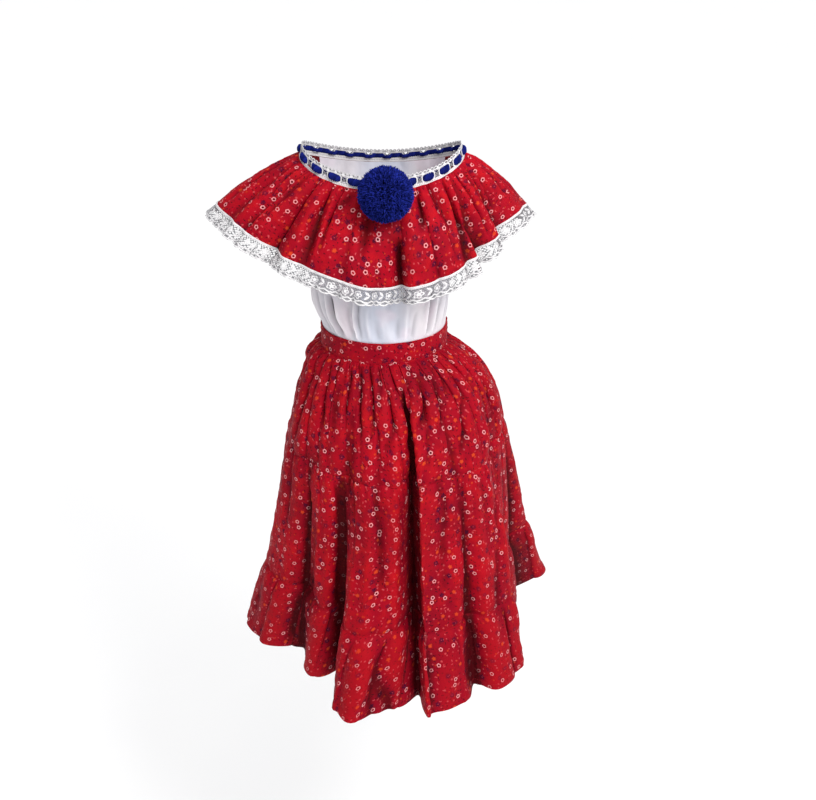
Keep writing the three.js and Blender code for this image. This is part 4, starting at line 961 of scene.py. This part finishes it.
def neck_lace_pattern(s, t):
    """The neckline's lace: a picot edge, net, slots with corded rims, crossed bars and a corded foot."""
    height = NECK_LACE_TOP - t
    half_height = (SLOT_HEAD - SLOT_FOOT) / 2
    off = np.abs(height - (SLOT_FOOT + SLOT_HEAD) / 2)
    up = np.maximum(off - (half_height - SLOT_CORNER), 0)
    slot, bars = 0 * s + 99, 0 * s - 9  # at first no slot or bar is near
    for k in range(STITCH_FIRST, STITCH_LAST + 1):
        for place in (stitch_at(k), stitch_at(k) - NECK_ROUND):
            across = np.maximum(np.abs(s - place) - (slot_half(k) - SLOT_CORNER), 0)
            slot = np.minimum(slot, np.hypot(across, up) - SLOT_CORNER)
        from_bar = np.abs(s - (stitch_at(k) + stitch_at(k + 1)) / 2)
        room = 0.5 * (stitch_at(k + 1) - stitch_at(k)) - slot_half(k)
        slope = half_height / room
        crossed = 0.75 - np.abs(from_bar * slope - off) / math.hypot(1, slope)
        bars = np.maximum(bars, np.where(from_bar < room + 1.5, crossed, -9))
    in_slots = (off < half_height + 0.3) & (s > SLOTS_FROM) & (s < NECK_ROUND - SLOTS_END)
    between = np.maximum(bars, 0.5 - np.abs(slot - 0.9))
    ground = np.where(in_slots, between, net(s, height * 0.9, NECK_NET, 0.45))
    edge = NECK_LACE_TOP - PICOT_HEIGHT * (1 - np.abs(np.sin(np.pi * s / PICOT_PITCH)) ** 0.8)
    rims, cord = 0.75 - np.abs(slot - 0.5), 0.65 - np.abs(height - (edge - 0.6))
    upper_cord = 0.55 - np.abs(height - UPPER_CORD_HEIGHT)
    petals = blossom(around(s, PICOT_PITCH * 2), height - NECK_BLOSSOM_HEIGHT, 2.5, 4)
    foot = np.minimum(SLOT_FOOT - 0.6 - height, np.maximum(line(s, 2.6, 0.9), np.abs(height - 2.2) - 0.9))
    cords = np.maximum.reduce([rims, cord, upper_cord, petals, foot])
    return np.minimum.reduce([np.maximum(ground, cords), edge - height, slot + 0.2]), cords


def neck_lace_piece():
    heights = np.linspace(NECK_LACE_TOP, -NECK_LACE_UNDER, NECK_LACE_ROWS)
    lengths = np.linspace(0, NECK_ROUND, NECK_LACE_COLUMNS, endpoint=False)
    ripple = 0.5 * np.sin(lengths * TURN / (NECK_ROUND / 31)) + 0.3 * uneven(lengths / 17)
    grid = np.array([neck_lace_points(lengths, h, ripple * max(h - 13, 0) / 7) for h in heights])
    lace("NeckLace", "neck_lace", grid, NECK_LACE_TOP - heights, neck_lace_pattern, NECK_ROUND)


# Threads: tubes along rows of sections, as arrays of (tube, section, side, 3)

def tube_sections(middle, a, b, radius, turn):
    """Rings of points round middles, in the plane of two directions."""
    ring = a[..., None, :] * np.cos(turn)[..., None] + b[..., None, :] * np.sin(turn)[..., None]
    return middle[..., None, :] + radius * ring


def tube_faces(tubes):
    """The side faces and the end faces of tubes."""
    number, sections, sides = tubes.shape[:3]
    i, k = (a.ravel() for a in np.mgrid[0:sections - 1, 0:sides])
    here, after, beside = i * sides, (i + 1) * sides, (k + 1) % sides
    quads = np.stack([here + k, here + beside, after + beside, after + k], 1)
    last = (sections - 1) * sides
    ends = [(0, k + 1, k) for k in range(1, sides - 1)]
    ends += [(last, last + k, last + k + 1) for k in range(1, sides - 1)]
    starts = np.arange(number)[:, None, None] * sections * sides
    return [(faces + starts).reshape(-1, faces.shape[1]) for faces in (quads, np.array(ends))]


def row_at(drop, drops):
    """The row of a grid, a whole number or one between two, that lies at a drop."""
    return np.interp(drop, drops, np.arange(len(drops)))


def seam_stitches(name, grid, row):
    """Stitches along a row of a ring of cloth, with each stitch's ends sunk in the cloth."""
    low = int(row)
    share = row - low
    path = grid[low] * (1 - share) + grid[min(low + 1, len(grid) - 1)] * share
    path, out = (np.concatenate([part, part[:1]]) for part in (path, normals(grid, True)[low]))
    lengths = lengths_along(path)
    number = int(lengths[-1] / SEWING_SPACING)
    stations, sizes, rises = (np.array(part) for part in zip(*SEWING_SECTIONS))
    places = ((np.arange(number) + 0.5) * lengths[-1] / number)[:, None] + stations * SEWING_LENGTH
    places = places % lengths[-1]
    centre, normal = (np.stack([np.interp(places, lengths, axis) for axis in values.T], axis=2)
                      for values in (path, out))
    normal = unit_length(normal)
    side = np.cross(unit_length(centre[:, -1:] - centre[:, :1]), normal)
    centre = centre + normal * SEWING_RADIUS * rises[:, None]
    turn = TURN * np.arange(SEWING_SIDES) / SEWING_SIDES
    tubes = tube_sections(centre, normal, side, (SEWING_RADIUS * sizes)[:, None, None], turn)
    settle(write_mesh(name, tubes.reshape(-1, 3), tube_faces(tubes), [red_thread]), "cotton")


def yarn_piece():
    course = [(YARN_RIGHT, *YARN_END)]
    for k in range(STITCH_FIRST, STITCH_LAST + 1):
        for along, *sizes in YARN_STITCH:
            if not (k == STITCH_FIRST and along < 0) and not (k == STITCH_LAST and along > 0.5):
                course.append((stitch_at(k) + along * slot_half(k), *sizes))
    course.append((NECK_ROUND + YARN_LEFT, *YARN_END))
    at, *sizes = np.array(course).T
    places = np.linspace(at[0], at[-1], int((at[-1] - at[0]) / YARN_SECTION_STEP))
    out, thick, tall = (curve_through(at, values, places) for values in sizes)
    turn = TURN * np.arange(YARN_PLY_SIDES) / YARN_PLY_SIDES
    plies = []
    for ply in range(YARN_PLIES):
        spin = TURN * (ply / YARN_PLIES + places / YARN_TWIST)
        bulge = 1 + 0.08 * np.sin(places * 1.9 + ply * 1.7)
        height = YARN_HEIGHT + tall * YARN_PLY_OFF * np.sin(spin)
        off = out + thick * YARN_PLY_OFF * np.cos(spin)
        heights = height[:, None] + (tall * YARN_PLY_HALF * bulge)[:, None] * np.sin(turn)
        offs = off[:, None] + (thick * YARN_PLY_HALF * bulge)[:, None] * np.cos(turn)
        plies.append(neck_lace_points(places[:, None] + 0 * heights, heights, offs))
    plies = np.array(plies)
    tones = np.repeat(0.14 + 0.08 * np.arange(YARN_PLIES), len(places) * YARN_PLY_SIDES)
    piece = write_mesh("NeckYarn", plies.reshape(-1, 3), tube_faces(plies), [wool], tones=tones)
    settle(piece, "wool", "neck_yarn")


# Pompom

def even_directions(count):
    """Directions spread evenly over a sphere."""
    k = np.arange(count) + 0.5
    height = 1 - 2 * k / count
    turn = k * math.pi * (3 - math.sqrt(5))
    level = np.sqrt(1 - height ** 2)
    return np.stack([level * np.cos(turn), level * np.sin(turn), height], 1)


def pompom_reach(directions, reach):
    """How far wool reaches in each direction, flattened at the seat against the ruffle."""
    facing = directions @ np.array([0, math.sin(POMPOM_SEAT_TILT), -math.cos(POMPOM_SEAT_TILT)])
    return np.minimum(reach, POMPOM_SEAT_DISTANCE / np.maximum(facing, 0.001))


def pompom_core():
    """A ball under the strands' ends, so that no light comes through."""
    polar = np.radians(np.linspace(4, 176, POMPOM_CORE_ROWS))[:, None]
    turn = TURN * np.arange(POMPOM_CORE_COLUMNS) / POMPOM_CORE_COLUMNS
    level = np.sin(polar)
    directions = np.stack([level * np.cos(turn), level * np.sin(turn), np.cos(polar) + 0 * turn], 2)
    far = np.minimum(pompom_reach(directions, POMPOM_CORE), pompom_reach(directions, POMPOM_RADIUS) - 4)
    return POMPOM_MIDDLE + directions * far[..., None]


def pompom_piece():
    random = np.random.default_rng(POMPOM_SEED)
    vectors = (POMPOM_STRANDS, 3)
    directions = unit_length(even_directions(POMPOM_STRANDS) + random.normal(0, STRAND_SPREAD, vectors))
    lean, curl = random.normal(0, STRAND_LEAN, vectors), random.normal(0, STRAND_CURL, vectors)
    dents = 1.3 * np.sin(directions @ (3.1, 4.7, 2.2) * 2.4)
    dents += 0.8 * np.sin(directions @ (-5.3, 2.1, 6.1) * 1.9)
    reach = POMPOM_RADIUS - 2.2 + dents * 0.55 + random.normal(0, STRAND_UNEVENNESS, POMPOM_STRANDS)
    reach = np.clip(reach, POMPOM_RADIUS - 6, POMPOM_RADIUS)
    turn = random.uniform(0, TURN, POMPOM_STRANDS)[:, None] + TURN * np.arange(STRAND_SIDES) / STRAND_SIDES
    rings = []
    for station, width, _ in STRAND_SECTIONS:
        aim = unit_length(directions + lean * station ** 2 + curl * math.sin(math.pi * station))
        along = POMPOM_ROOT + (pompom_reach(aim, reach) - POMPOM_ROOT) * station
        flat = unit_length(np.cross(aim, (0.31, 0.52, 0.79)))
        middle = POMPOM_MIDDLE + aim * along[:, None]
        rings.append(tube_sections(middle, flat, np.cross(aim, flat), STRAND_HALF_WIDTH * width, turn))
    strands, core = np.stack(rings, axis=1), pompom_core()
    faces = [np.concatenate([outside, inside[:, ::-1] + strands.size // 3])
             for outside, inside in zip(tube_faces(strands), tube_faces(core[None]))]
    tones = np.clip(random.normal(0.46, 0.3, POMPOM_STRANDS), 0, 1.2)[:, None, None]
    # Each strand's tone drops towards its root, as painted shade inside the pompom
    tones = tones * np.array([tone for *_, tone in STRAND_SECTIONS])[:, None] * np.ones(STRAND_SIDES)
    # The core takes tone 0, painted shade under the strands
    tones = np.concatenate([tones.ravel(), np.zeros(core.size // 3)])
    points = np.concatenate([strands.reshape(-1, 3), core.reshape(-1, 3)])
    settle(write_mesh("Pompom", points, faces, [wool], tones=tones, sharp=80), "wool", "pompom")


# Bodice and waistband

def bodice_points(angle, rise, out):
    """The bodice's outer points at one rise. Over the armholes' foot its rows follow the neckline."""
    half_width, half_depth, shift = section(BODICE_SECTIONS, rise)
    z = 0 * angle + rise
    if rise > ARMHOLE_FOOT:
        top = neck_points(angle)[:, 2] - BODICE_TOP_GAP
        z = ARMHOLE_FOOT + (rise - ARMHOLE_FOOT) * (top - ARMHOLE_FOOT) / (BODICE_TOP - ARMHOLE_FOOT)
    grown = unit((rise - BODICE_FOLD_FOOT) / (BODICE_FOLD_FULL - BODICE_FOLD_FOOT))
    grown *= unit((BODICE_FOLD_END - rise) / (BODICE_FOLD_END - BODICE_FOLD_FADE))
    out = out + grown * sum(far * bell(turn_to(angle, at) / width) for at, width, far in BODICE_FOLDS)
    out = out - BODICE_TUCK * unit((BODICE_TUCK_TOP - rise) / BODICE_TUCK_GROWS)
    return ring_points(half_width + out, half_depth + out, angle, z, shift)


def bodice_panel(name, node, middle):
    rows = []
    for rise in np.concatenate([*(np.arange(*stretch) for stretch in BODICE_ROWS), [257.5, BODICE_TOP]]):
        above_arm = max(rise - ARMHOLE_FOOT, 0) / (BODICE_TOP - ARMHOLE_FOOT)
        half = 90 - (90 - PANEL_HALF_ANGLE) * math.sqrt(1 - (1 - above_arm) ** 2)
        angles = middle + half * np.linspace(-1, 1, BODICE_COLUMNS[name] + 1)
        seam = -SIDE_SEAM_DEPTH * bell((90 - np.abs(angles - middle)) / SIDE_SEAM_SPREAD)
        seam *= rise < ARMHOLE_FOOT
        a = np.radians(angles)
        wave = sum(height * np.sin(a * turns + rise / slant) for turns, slant, height in BODICE_WAVES)
        wave += wrinkled(BODICE_WRINKLES, angles, (rise - BODICE_FOOT) / (BODICE_TOP - BODICE_FOOT))
        lift = BODICE_CREASE_DEPTH * creases(angles, rise, BODICE_RADIUS, BODICE_CREASES) + wave
        shown = unit((rise - BODICE_LIFT_FOOT) / BODICE_LIFT_GROWS)
        rows.append(bodice_points(angles, rise, lift * shown + seam))
    grid = np.array(rows)[::-1]
    settle(shell(name, grid, SATIN_WALL, False, [satin], plain_uv(grid, False)), "satin", node)


def waistband_piece():
    angles = np.linspace(-90, 270, BAND_COLUMNS, endpoint=False)
    behind = angles > 90
    phase = (angles - 90) / 180 * BAND_RUCHES
    own = 1 + 0.3 * uneven(np.floor(phase) + 3)
    ends = np.clip(np.minimum(angles - 90, 270 - angles) / 8, 0, 1) * behind
    ruche = BAND_RUCHED_HEIGHT * half_wave(phase) * own * ends
    front = np.clip((90 - np.abs(angles)) / 12, 0, 1)
    rows = []
    for z in BAND_ROWS:
        rolled = -BAND_EDGE_ROLL * max(z / BAND_HALF_HEIGHT - 0.9, 0)
        sag = (0.35 * np.sin(np.radians(angles) * 7 + z / 9) + 0.3 * np.sin(np.radians(angles) * 19)) * front
        elastic = 0.5 * math.cos(2 * TURN * z / BAND_HALF_HEIGHT) * ends
        out = ruche * (1 - 0.25 * abs(z) / BAND_HALF_HEIGHT) + rolled + sag + elastic
        out -= BAND_GROOVE * bell((abs(z) - BAND_STITCHES) / BAND_GROOVE_REACH)
        rows.append(ring_points(BAND_WIDTH + out, BAND_DEPTH + out, angles, z))
    grid = np.array(rows)
    piece = shell("Waistband", grid, BAND_WALL, True, [print_face], plain_uv(grid, True, BAND_PRINT_START))
    settle(piece, "cotton", *halves("waistband"))
    return grid


# Materials

class Nodes:
    """A material and short calls that add nodes to it."""

    def __init__(self, name, roughness, sheen=0.0, tint=(1.0, 1.0, 1.0), gloss=0.5, anisotropic=0.0):
        self.material = bpy.data.materials.new(name)
        self.material.use_nodes = True
        self.tree = self.material.node_tree
        self.shader = self.tree.nodes["Principled BSDF"].inputs
        settings = {"Roughness": roughness, "Sheen Weight": sheen, "Sheen Roughness": 0.45,
                    "Sheen Tint": tint, "Specular IOR Level": gloss, "Anisotropic": anisotropic}
        for setting, value in settings.items():
            self.put(self.shader[setting], value)

    def put(self, socket, value):
        if isinstance(value, bpy.types.NodeSocket):
            self.tree.links.new(value, socket)
        else:
            is_colour = isinstance(value, tuple) and len(socket.default_value) == 4
            socket.default_value = (*value, 1) if is_colour else value

    def make(self, kind, values, output=0, **settings):
        """An output of a new node, or all of them, from its inputs by number or name."""
        node = self.tree.nodes.new("ShaderNode" + kind)
        for name, setting in settings.items():
            setattr(node, name, setting)
        for key, value in values.items() if isinstance(values, dict) else enumerate(values):
            self.put(node.inputs[key], value)
        return node.outputs if output is None else node.outputs[output]

    def math(self, operation, *values, clamp=False):
        return self.make("Math", values, operation=operation, use_clamp=clamp)

    def times(self, a, b, clamp=False):
        return self.math("MULTIPLY", a, b, clamp=clamp)

    def fit(self, value, scale, start):
        """A value times a scale, plus a start."""
        return self.math("MULTIPLY_ADD", value, scale, start)

    def under(self, value, limit):
        return self.math("LESS_THAN", value, limit)

    def over(self, value, limit):
        return self.math("GREATER_THAN", value, limit)

    def vector(self, operation, *values):
        return self.make("VectorMath", values, operation=operation)

    def length(self, vector):
        return self.make("VectorMath", [vector], "Value", operation="LENGTH")

    def split(self, vector):
        return self.make("SeparateXYZ", [vector], None)

    def smooth(self, value, low, high):
        """0 where a value is at low, 1 where it is at high, and smooth between."""
        ends = {"Value": value, "From Min": low, "From Max": high}
        return self.make("MapRange", ends, interpolation_type="SMOOTHSTEP")

    def within(self, distance, edge, soft=0.35):
        """1 inside an edge and 0 outside it, with a soft step in millimetres."""
        return self.smooth(self.math("SUBTRACT", edge, distance), -soft, soft)

    def mix(self, share, a, b):
        return self.make("Mix", {0: share, 6: a, 7: b}, 2, data_type="RGBA")

    def tint(self, colour, share, strength, other, clamp=False):
        """A colour with some of another, by a share and how strong it is at 1."""
        return self.mix(self.times(share, strength, clamp), colour, other)

    def noise(self, vector, scale, detail=2.0, roughness=0.5):
        values = {"Vector": vector, "Scale": scale, "Detail": detail, "Roughness": roughness}
        return self.make("TexNoise", values)

    def cells(self, vector, pitch, randomness):
        """The nearest spot of a scatter: the vector to it in millimetres, and its own random numbers."""
        values = {"Vector": vector, "Scale": 1000 / pitch, "Randomness": randomness}
        spot = self.make("TexVoronoi", values, None, voronoi_dimensions="2D")
        off = self.vector("SUBTRACT", vector, spot["Position"])
        local = self.make("VectorMath", {0: off, "Scale": 1000}, operation="SCALE")
        return local, self.make("SeparateColor", [spot["Color"]], None)

    def flower(self, local, spin):
        """A flower's distance and its angle, turned by its own spin."""
        x, y, _ = self.split(local)
        angle = self.math("ADD", self.math("ARCTAN2", y, x), self.times(spin, 6.283))
        return self.length(local), self.math("COSINE", self.times(angle, 5.0))

    def cloth(self):
        return self.make("UVMap", (), uv_map="cloth")

    def place(self):
        return self.make("TexCoord", (), "Object")

    def tone(self):
        return self.make("Attribute", (), "Fac", attribute_name="tone")

    def finish(self, colour, roughness, height, distance):
        bump = self.make("Bump", {"Height": height, "Distance": distance, "Strength": 1.0})
        for name, value in (("Base Color", colour), ("Roughness", roughness), ("Normal", bump)):
            self.put(self.shader[name], value)
        return self.material


def sprigs(n, cloth, colour):
    """The print's flowers: white rings, blue blossoms beside some of them, and orange ones."""
    local, pick = n.cells(cloth, SPRIG_PITCH, 0.8)
    distance, wave = n.flower(local, pick[1])
    is_white, is_orange = n.under(pick[0], 0.64), n.over(pick[0], 0.84)
    is_blue = n.math("SUBTRACT", n.math("SUBTRACT", 1.0, is_white), is_orange)
    halo = n.times(n.within(distance, 7.0, 2.2), n.smooth(n.noise(cloth, 1150.0, 1.0), 0.55, 0.63))
    beside = n.times(n.under(pick[2], 0.38), is_white)
    near, near_wave = n.flower(n.vector("ADD", local, (5.2, 6.0, 0.0)), pick[1])
    blue_beside = n.times(n.within(near, n.fit(near_wave, 0.5, 3.8), 0.9), beside)
    blue_own = n.times(n.within(distance, n.fit(wave, 0.55, 4.1), 0.9), is_blue)
    blotch = n.smooth(n.noise(cloth, 900.0), 0.38, 0.50)
    blue = n.times(n.math("MAXIMUM", blue_beside, blue_own), blotch)
    heart = n.math("MINIMUM", n.within(distance, 0.8), is_blue)
    orange = n.times(n.within(distance, n.fit(wave, 0.4, 2.9), 1.1), is_orange)
    outer, inner = n.within(distance, n.fit(wave, 0.25, 3.3), 0.4), n.within(distance, 1.9, 0.4)
    ring = n.times(n.math("SUBTRACT", outer, inner), is_white)
    eye = n.times(n.within(distance, 1.5), n.under(pick[0], 0.36))
    navy = n.mix(n.smooth(n.noise(cloth, 420.0, 1.0), 0.42, 0.6), FLOWER_NAVY, FLOWER_PURPLE)
    for share, strength, other in ((halo, 0.7, TWIG), (blue, 0.88, navy), (heart, 0.5, BUD_PINK),
                                   (orange, 0.85, FLOWER_ORANGE), (ring, 0.95, FLOWER_WHITE),
                                   (eye, 0.85, FLOWER_HEART)):
        colour = n.tint(colour, share, strength, other)
    return colour


def twigs(n, cloth, colour):
    """The print's small marks between the flowers: dark twigs, pale buds, and orange and pink dots."""
    local, pick = n.cells(cloth, TWIG_PITCH, 0.9)
    own_turn = {"Vector": local, "Angle": n.times(pick[1], 6.283)}
    x, y, _ = n.split(n.make("VectorRotate", own_turn, rotation_type="Z_AXIS"))
    curve = n.fit(n.math("POWER", x, 2.0), 0.16, y)
    long = n.within(n.math("ABSOLUTE", x), n.fit(pick[2], 1.6, 0.9), 0.5)
    mark = n.times(long, n.within(n.math("ABSOLUTE", curve), 0.68, 0.4))
    colour = n.tint(colour, n.times(mark, n.under(pick[0], 0.58)), 0.9, TWIG)
    colour = n.tint(colour, n.times(mark, n.over(pick[0], 0.80)), 0.75, BUD_PINK)
    seed, pick = n.cells(cloth, DOT_PITCH, 0.95)
    dot = n.within(n.length(seed), n.fit(pick[1], 0.8, 1.0), 0.7)
    colour = n.tint(colour, n.times(dot, n.under(pick[0], 0.24)), 0.6, FLOWER_ORANGE)
    return n.tint(colour, n.times(dot, n.over(pick[0], 0.62)), 0.62, BUD_PINK)


def weave(n, cloth, pitch):
    """The height of a plain weave's threads, from 0 to 1."""
    x, y, _ = n.split(cloth)
    waves = [n.math("SINE", n.times(along, TURN / (pitch * MM))) for along in (x, y)]
    return n.fit(n.times(*waves), 0.5, 0.5)


def print_cloth(name, reverse):
    n = Nodes(name, 0.8 if reverse else 0.62, 0.045, (0.9, 0.12, 0.20), 0.05)
    cloth = n.cloth()
    colour = n.mix(n.smooth(n.noise(n.place(), 9.0, 3.0), 0.32, 0.68), DEEP_RED, RED)
    colour = n.tint(colour, n.smooth(n.noise(cloth, 45.0), 0.46, 0.70), 0.45, BRIGHT_PATCH_AND_PAINTED_HIGHLIGHT_RED)
    # Painted shade: darker towards the hem, below a height
    colour = n.tint(colour, n.smooth(n.split(n.place())[2], -0.34, -0.47), 0.65, DEEP_RED)
    slubs = n.noise(n.vector("MULTIPLY", cloth, (1.0, 0.12, 1.0)), 900.0, 1.0)
    colour = n.tint(colour, n.smooth(slubs, 0.35, 0.75), 0.16, DEEP_RED)
    colour = sprigs(n, cloth, twigs(n, cloth, colour))
    colour = n.tint(colour, n.smooth(n.noise(n.place(), 55.0, 4.0, 0.6), 0.62, 0.85), 0.06, REVERSE_TINT)
    # Painted highlight on ridges and painted shade in troughs, by the tone of how deep the cloth lies
    tone = n.tone()
    colour = n.tint(colour, tone, -0.35, BRIGHT_PATCH_AND_PAINTED_HIGHLIGHT_RED, clamp=True)
    colour = n.tint(colour, tone, 0.85, PAINTED_SHADE_RED, clamp=True)
    if reverse:
        colour = n.mix(0.5, colour, REVERSE_TINT)
    roughness = n.fit(n.noise(cloth, 160.0), 0.2, 0.68 if reverse else 0.5)
    crumple = n.noise(n.place(), 90.0, 3.0, 0.55)
    return n.finish(colour, roughness, n.fit(crumple, 12.0, weave(n, cloth, 0.9)), 0.0001)


def satin_cloth():
    n = Nodes("satin", 0.36, 0.1, (0.8, 0.8, 1.0), 0.45, 0.4)
    colour = n.mix(n.smooth(n.noise(n.place(), 14.0, 3.0), 0.3, 0.7), SATIN_SHADE, SATIN_WHITE)
    # Painted reflection: a bluish sheen down the middle of the bodice, front and back
    middle = n.smooth(n.math("ABSOLUTE", n.split(n.place())[0]), 0.060, 0.015)
    colour = n.tint(colour, middle, 0.55, SATIN_PAINTED_REFLECTION)
    colour = n.tint(colour, n.smooth(n.noise(n.place(), 24.0, 1.0), 0.52, 0.68), 0.35, SATIN_PINK)
    threads = n.noise(n.vector("MULTIPLY", n.cloth(), (1.0, 0.05, 1.0)), 1500.0, 1.0)
    colour = n.tint(colour, n.smooth(threads, 0.4, 0.7), 0.12, SATIN_SHADE)
    # Painted shade in troughs and deep creases, and a painted highlight on ridges, by the tone
    painted_shade_and_highlight = n.tone()
    colour = n.tint(colour, painted_shade_and_highlight, 0.8, SATIN_PAINTED_SHADE, clamp=True)
    colour = n.tint(colour, n.smooth(painted_shade_and_highlight, 0.45, 0.9), 0.85, SATIN_PAINTED_CREASE_SHADE)
    colour = n.tint(colour, painted_shade_and_highlight, -0.9, SATIN_PAINTED_HIGHLIGHT, clamp=True)
    crumple = n.noise(n.vector("MULTIPLY", n.place(), (1.0, 1.0, 0.35)), 60.0, 3.0)
    return n.finish(colour, n.fit(threads, 0.2, 0.28), n.fit(crumple, 8.0, threads), 0.0001)


def cotton_thread(name, light, shade, scale, ground=None):
    """Lace or sewing thread: fine twisted fibres. Where a ground colour is given, the net between cords, and
    a cord in a trough, are darkened towards it as painted shade.
    """
    n = Nodes(name, 0.75, 0.1, gloss=0.2)
    twist, patches = n.noise(n.place(), scale), n.noise(n.place(), 25.0)
    colour = n.mix(n.smooth(twist, 0.3, 0.7), shade, light)
    colour = n.tint(colour, n.smooth(patches, 0.4, 0.7), 0.3, shade)
    # Painted shade: the net, and a cord in a trough, take the ground colour by the tone
    if ground:
        colour = n.mix(n.tone(), ground, colour)
    return n.finish(colour, n.fit(patches, 0.2, 0.62), twist, 0.0002)


def wool_yarn():
    n = Nodes("wool", 0.9, 0.15, (0.02, 0.05, 0.5), 0.05)
    fibres = n.noise(n.place(), 900.0)
    # The tone gives each strand and ply its own tone, and on the pompom also paints shade towards the roots
    # and in the core
    share = n.math("ADD", n.times(n.tone(), 0.9), n.fit(fibres, 0.5, -0.22), clamp=True)
    colour = n.mix(share, WOOL_DARK, WOOL_LIGHT)
    colour = n.tint(colour, n.smooth(n.noise(n.place(), 60.0), 0.45, 0.7), 0.25, WOOL_DARK)
    return n.finish(colour, n.fit(fibres, 0.15, 0.8), fibres, 0.0004)


def floor_paint():
    n = Nodes("floor", 0.9, gloss=0.1)
    n.put(n.shader["Base Color"], n.mix(n.noise(n.place(), 3.0), FLOOR_PALE, FLOOR_WHITE))
    return n.material


# Light, floor and camera

def lamp(name, kind, place, power, **settings):
    """A light aimed at the dress."""
    data = bpy.data.lights.new(name, kind)
    data.energy, data.color = power, LAMP_COLOUR
    for setting, value in settings.items():
        setattr(data, setting, value)
    light = add_object(name, data)
    light.location = place
    x, y, z = place
    light.rotation_euler = (math.atan2(math.hypot(x, y), z), 0, math.atan2(y, x) + math.pi / 2)


def studio():
    scene = bpy.context.scene
    scene.view_settings.view_transform = "Standard"
    scene.world = bpy.data.worlds.new("studio")
    scene.world.use_nodes = True
    sky = scene.world.node_tree.nodes["Background"].inputs
    sky[0].default_value, sky[1].default_value = SKY, SKY_POWER
    lamp("sun", "SUN", (1.0, -1.7, 3.0), 1.8, angle=math.radians(70))
    lamp("key", "AREA", (0.8, -1.2, 1.35), 25, shape="DISK", size=0.6)
    mesh = bpy.data.meshes.new("floor")
    corners = [(x * FLOOR_HALF, y * FLOOR_HALF, FLOOR_Z) for x, y in ((-1, -1), (1, -1), (1, 1), (-1, 1))]
    mesh.from_pydata(corners, [], [(0, 1, 2, 3)])
    mesh.materials.append(floor_paint())
    add_object("Floor", mesh)


def camera():
    data = bpy.data.cameras.new("camera")
    data.sensor_width, data.lens = CAMERA_SENSOR, CAMERA_LENS
    eye = add_object("camera", data)
    eye.location = CAMERA_PLACE
    eye.rotation_euler = (math.radians(90 - CAMERA_DOWN), 0, 0)
    bpy.context.scene.camera = eye


# The dress

print_face, print_reverse = print_cloth("print_face", False), print_cloth("print_reverse", True)
satin, wool = satin_cloth(), wool_yarn()
lace_thread = cotton_thread("lace_thread", LACE_WHITE, LACE_SHADE, 1400.0, NET_PAINTED_SHADE)
red_thread = cotton_thread("red_thread", THREAD_RED, DEEP_RED, 2500.0)
camera()
studio()
for tier in TIERS:
    flounce, flounce_drops = skirt_tier(*tier)
ruffle_piece()
ruffle_lace_piece()
neck_lace_piece()
yarn_piece()
pompom_piece()
bodice_panel("BodiceFront", "bodice_front", 0)
bodice_panel("BodiceBack", "bodice_back", 180)
band = waistband_piece()
seam_stitches("HemStitches", flounce, row_at(HEM - HEM_FOLD, flounce_drops))
seam_stitches("BandStitchesTop", band, row_at(-BAND_STITCHES, -np.array(BAND_ROWS)))
seam_stitches("BandStitchesFoot", band, row_at(BAND_STITCHES, -np.array(BAND_ROWS)))
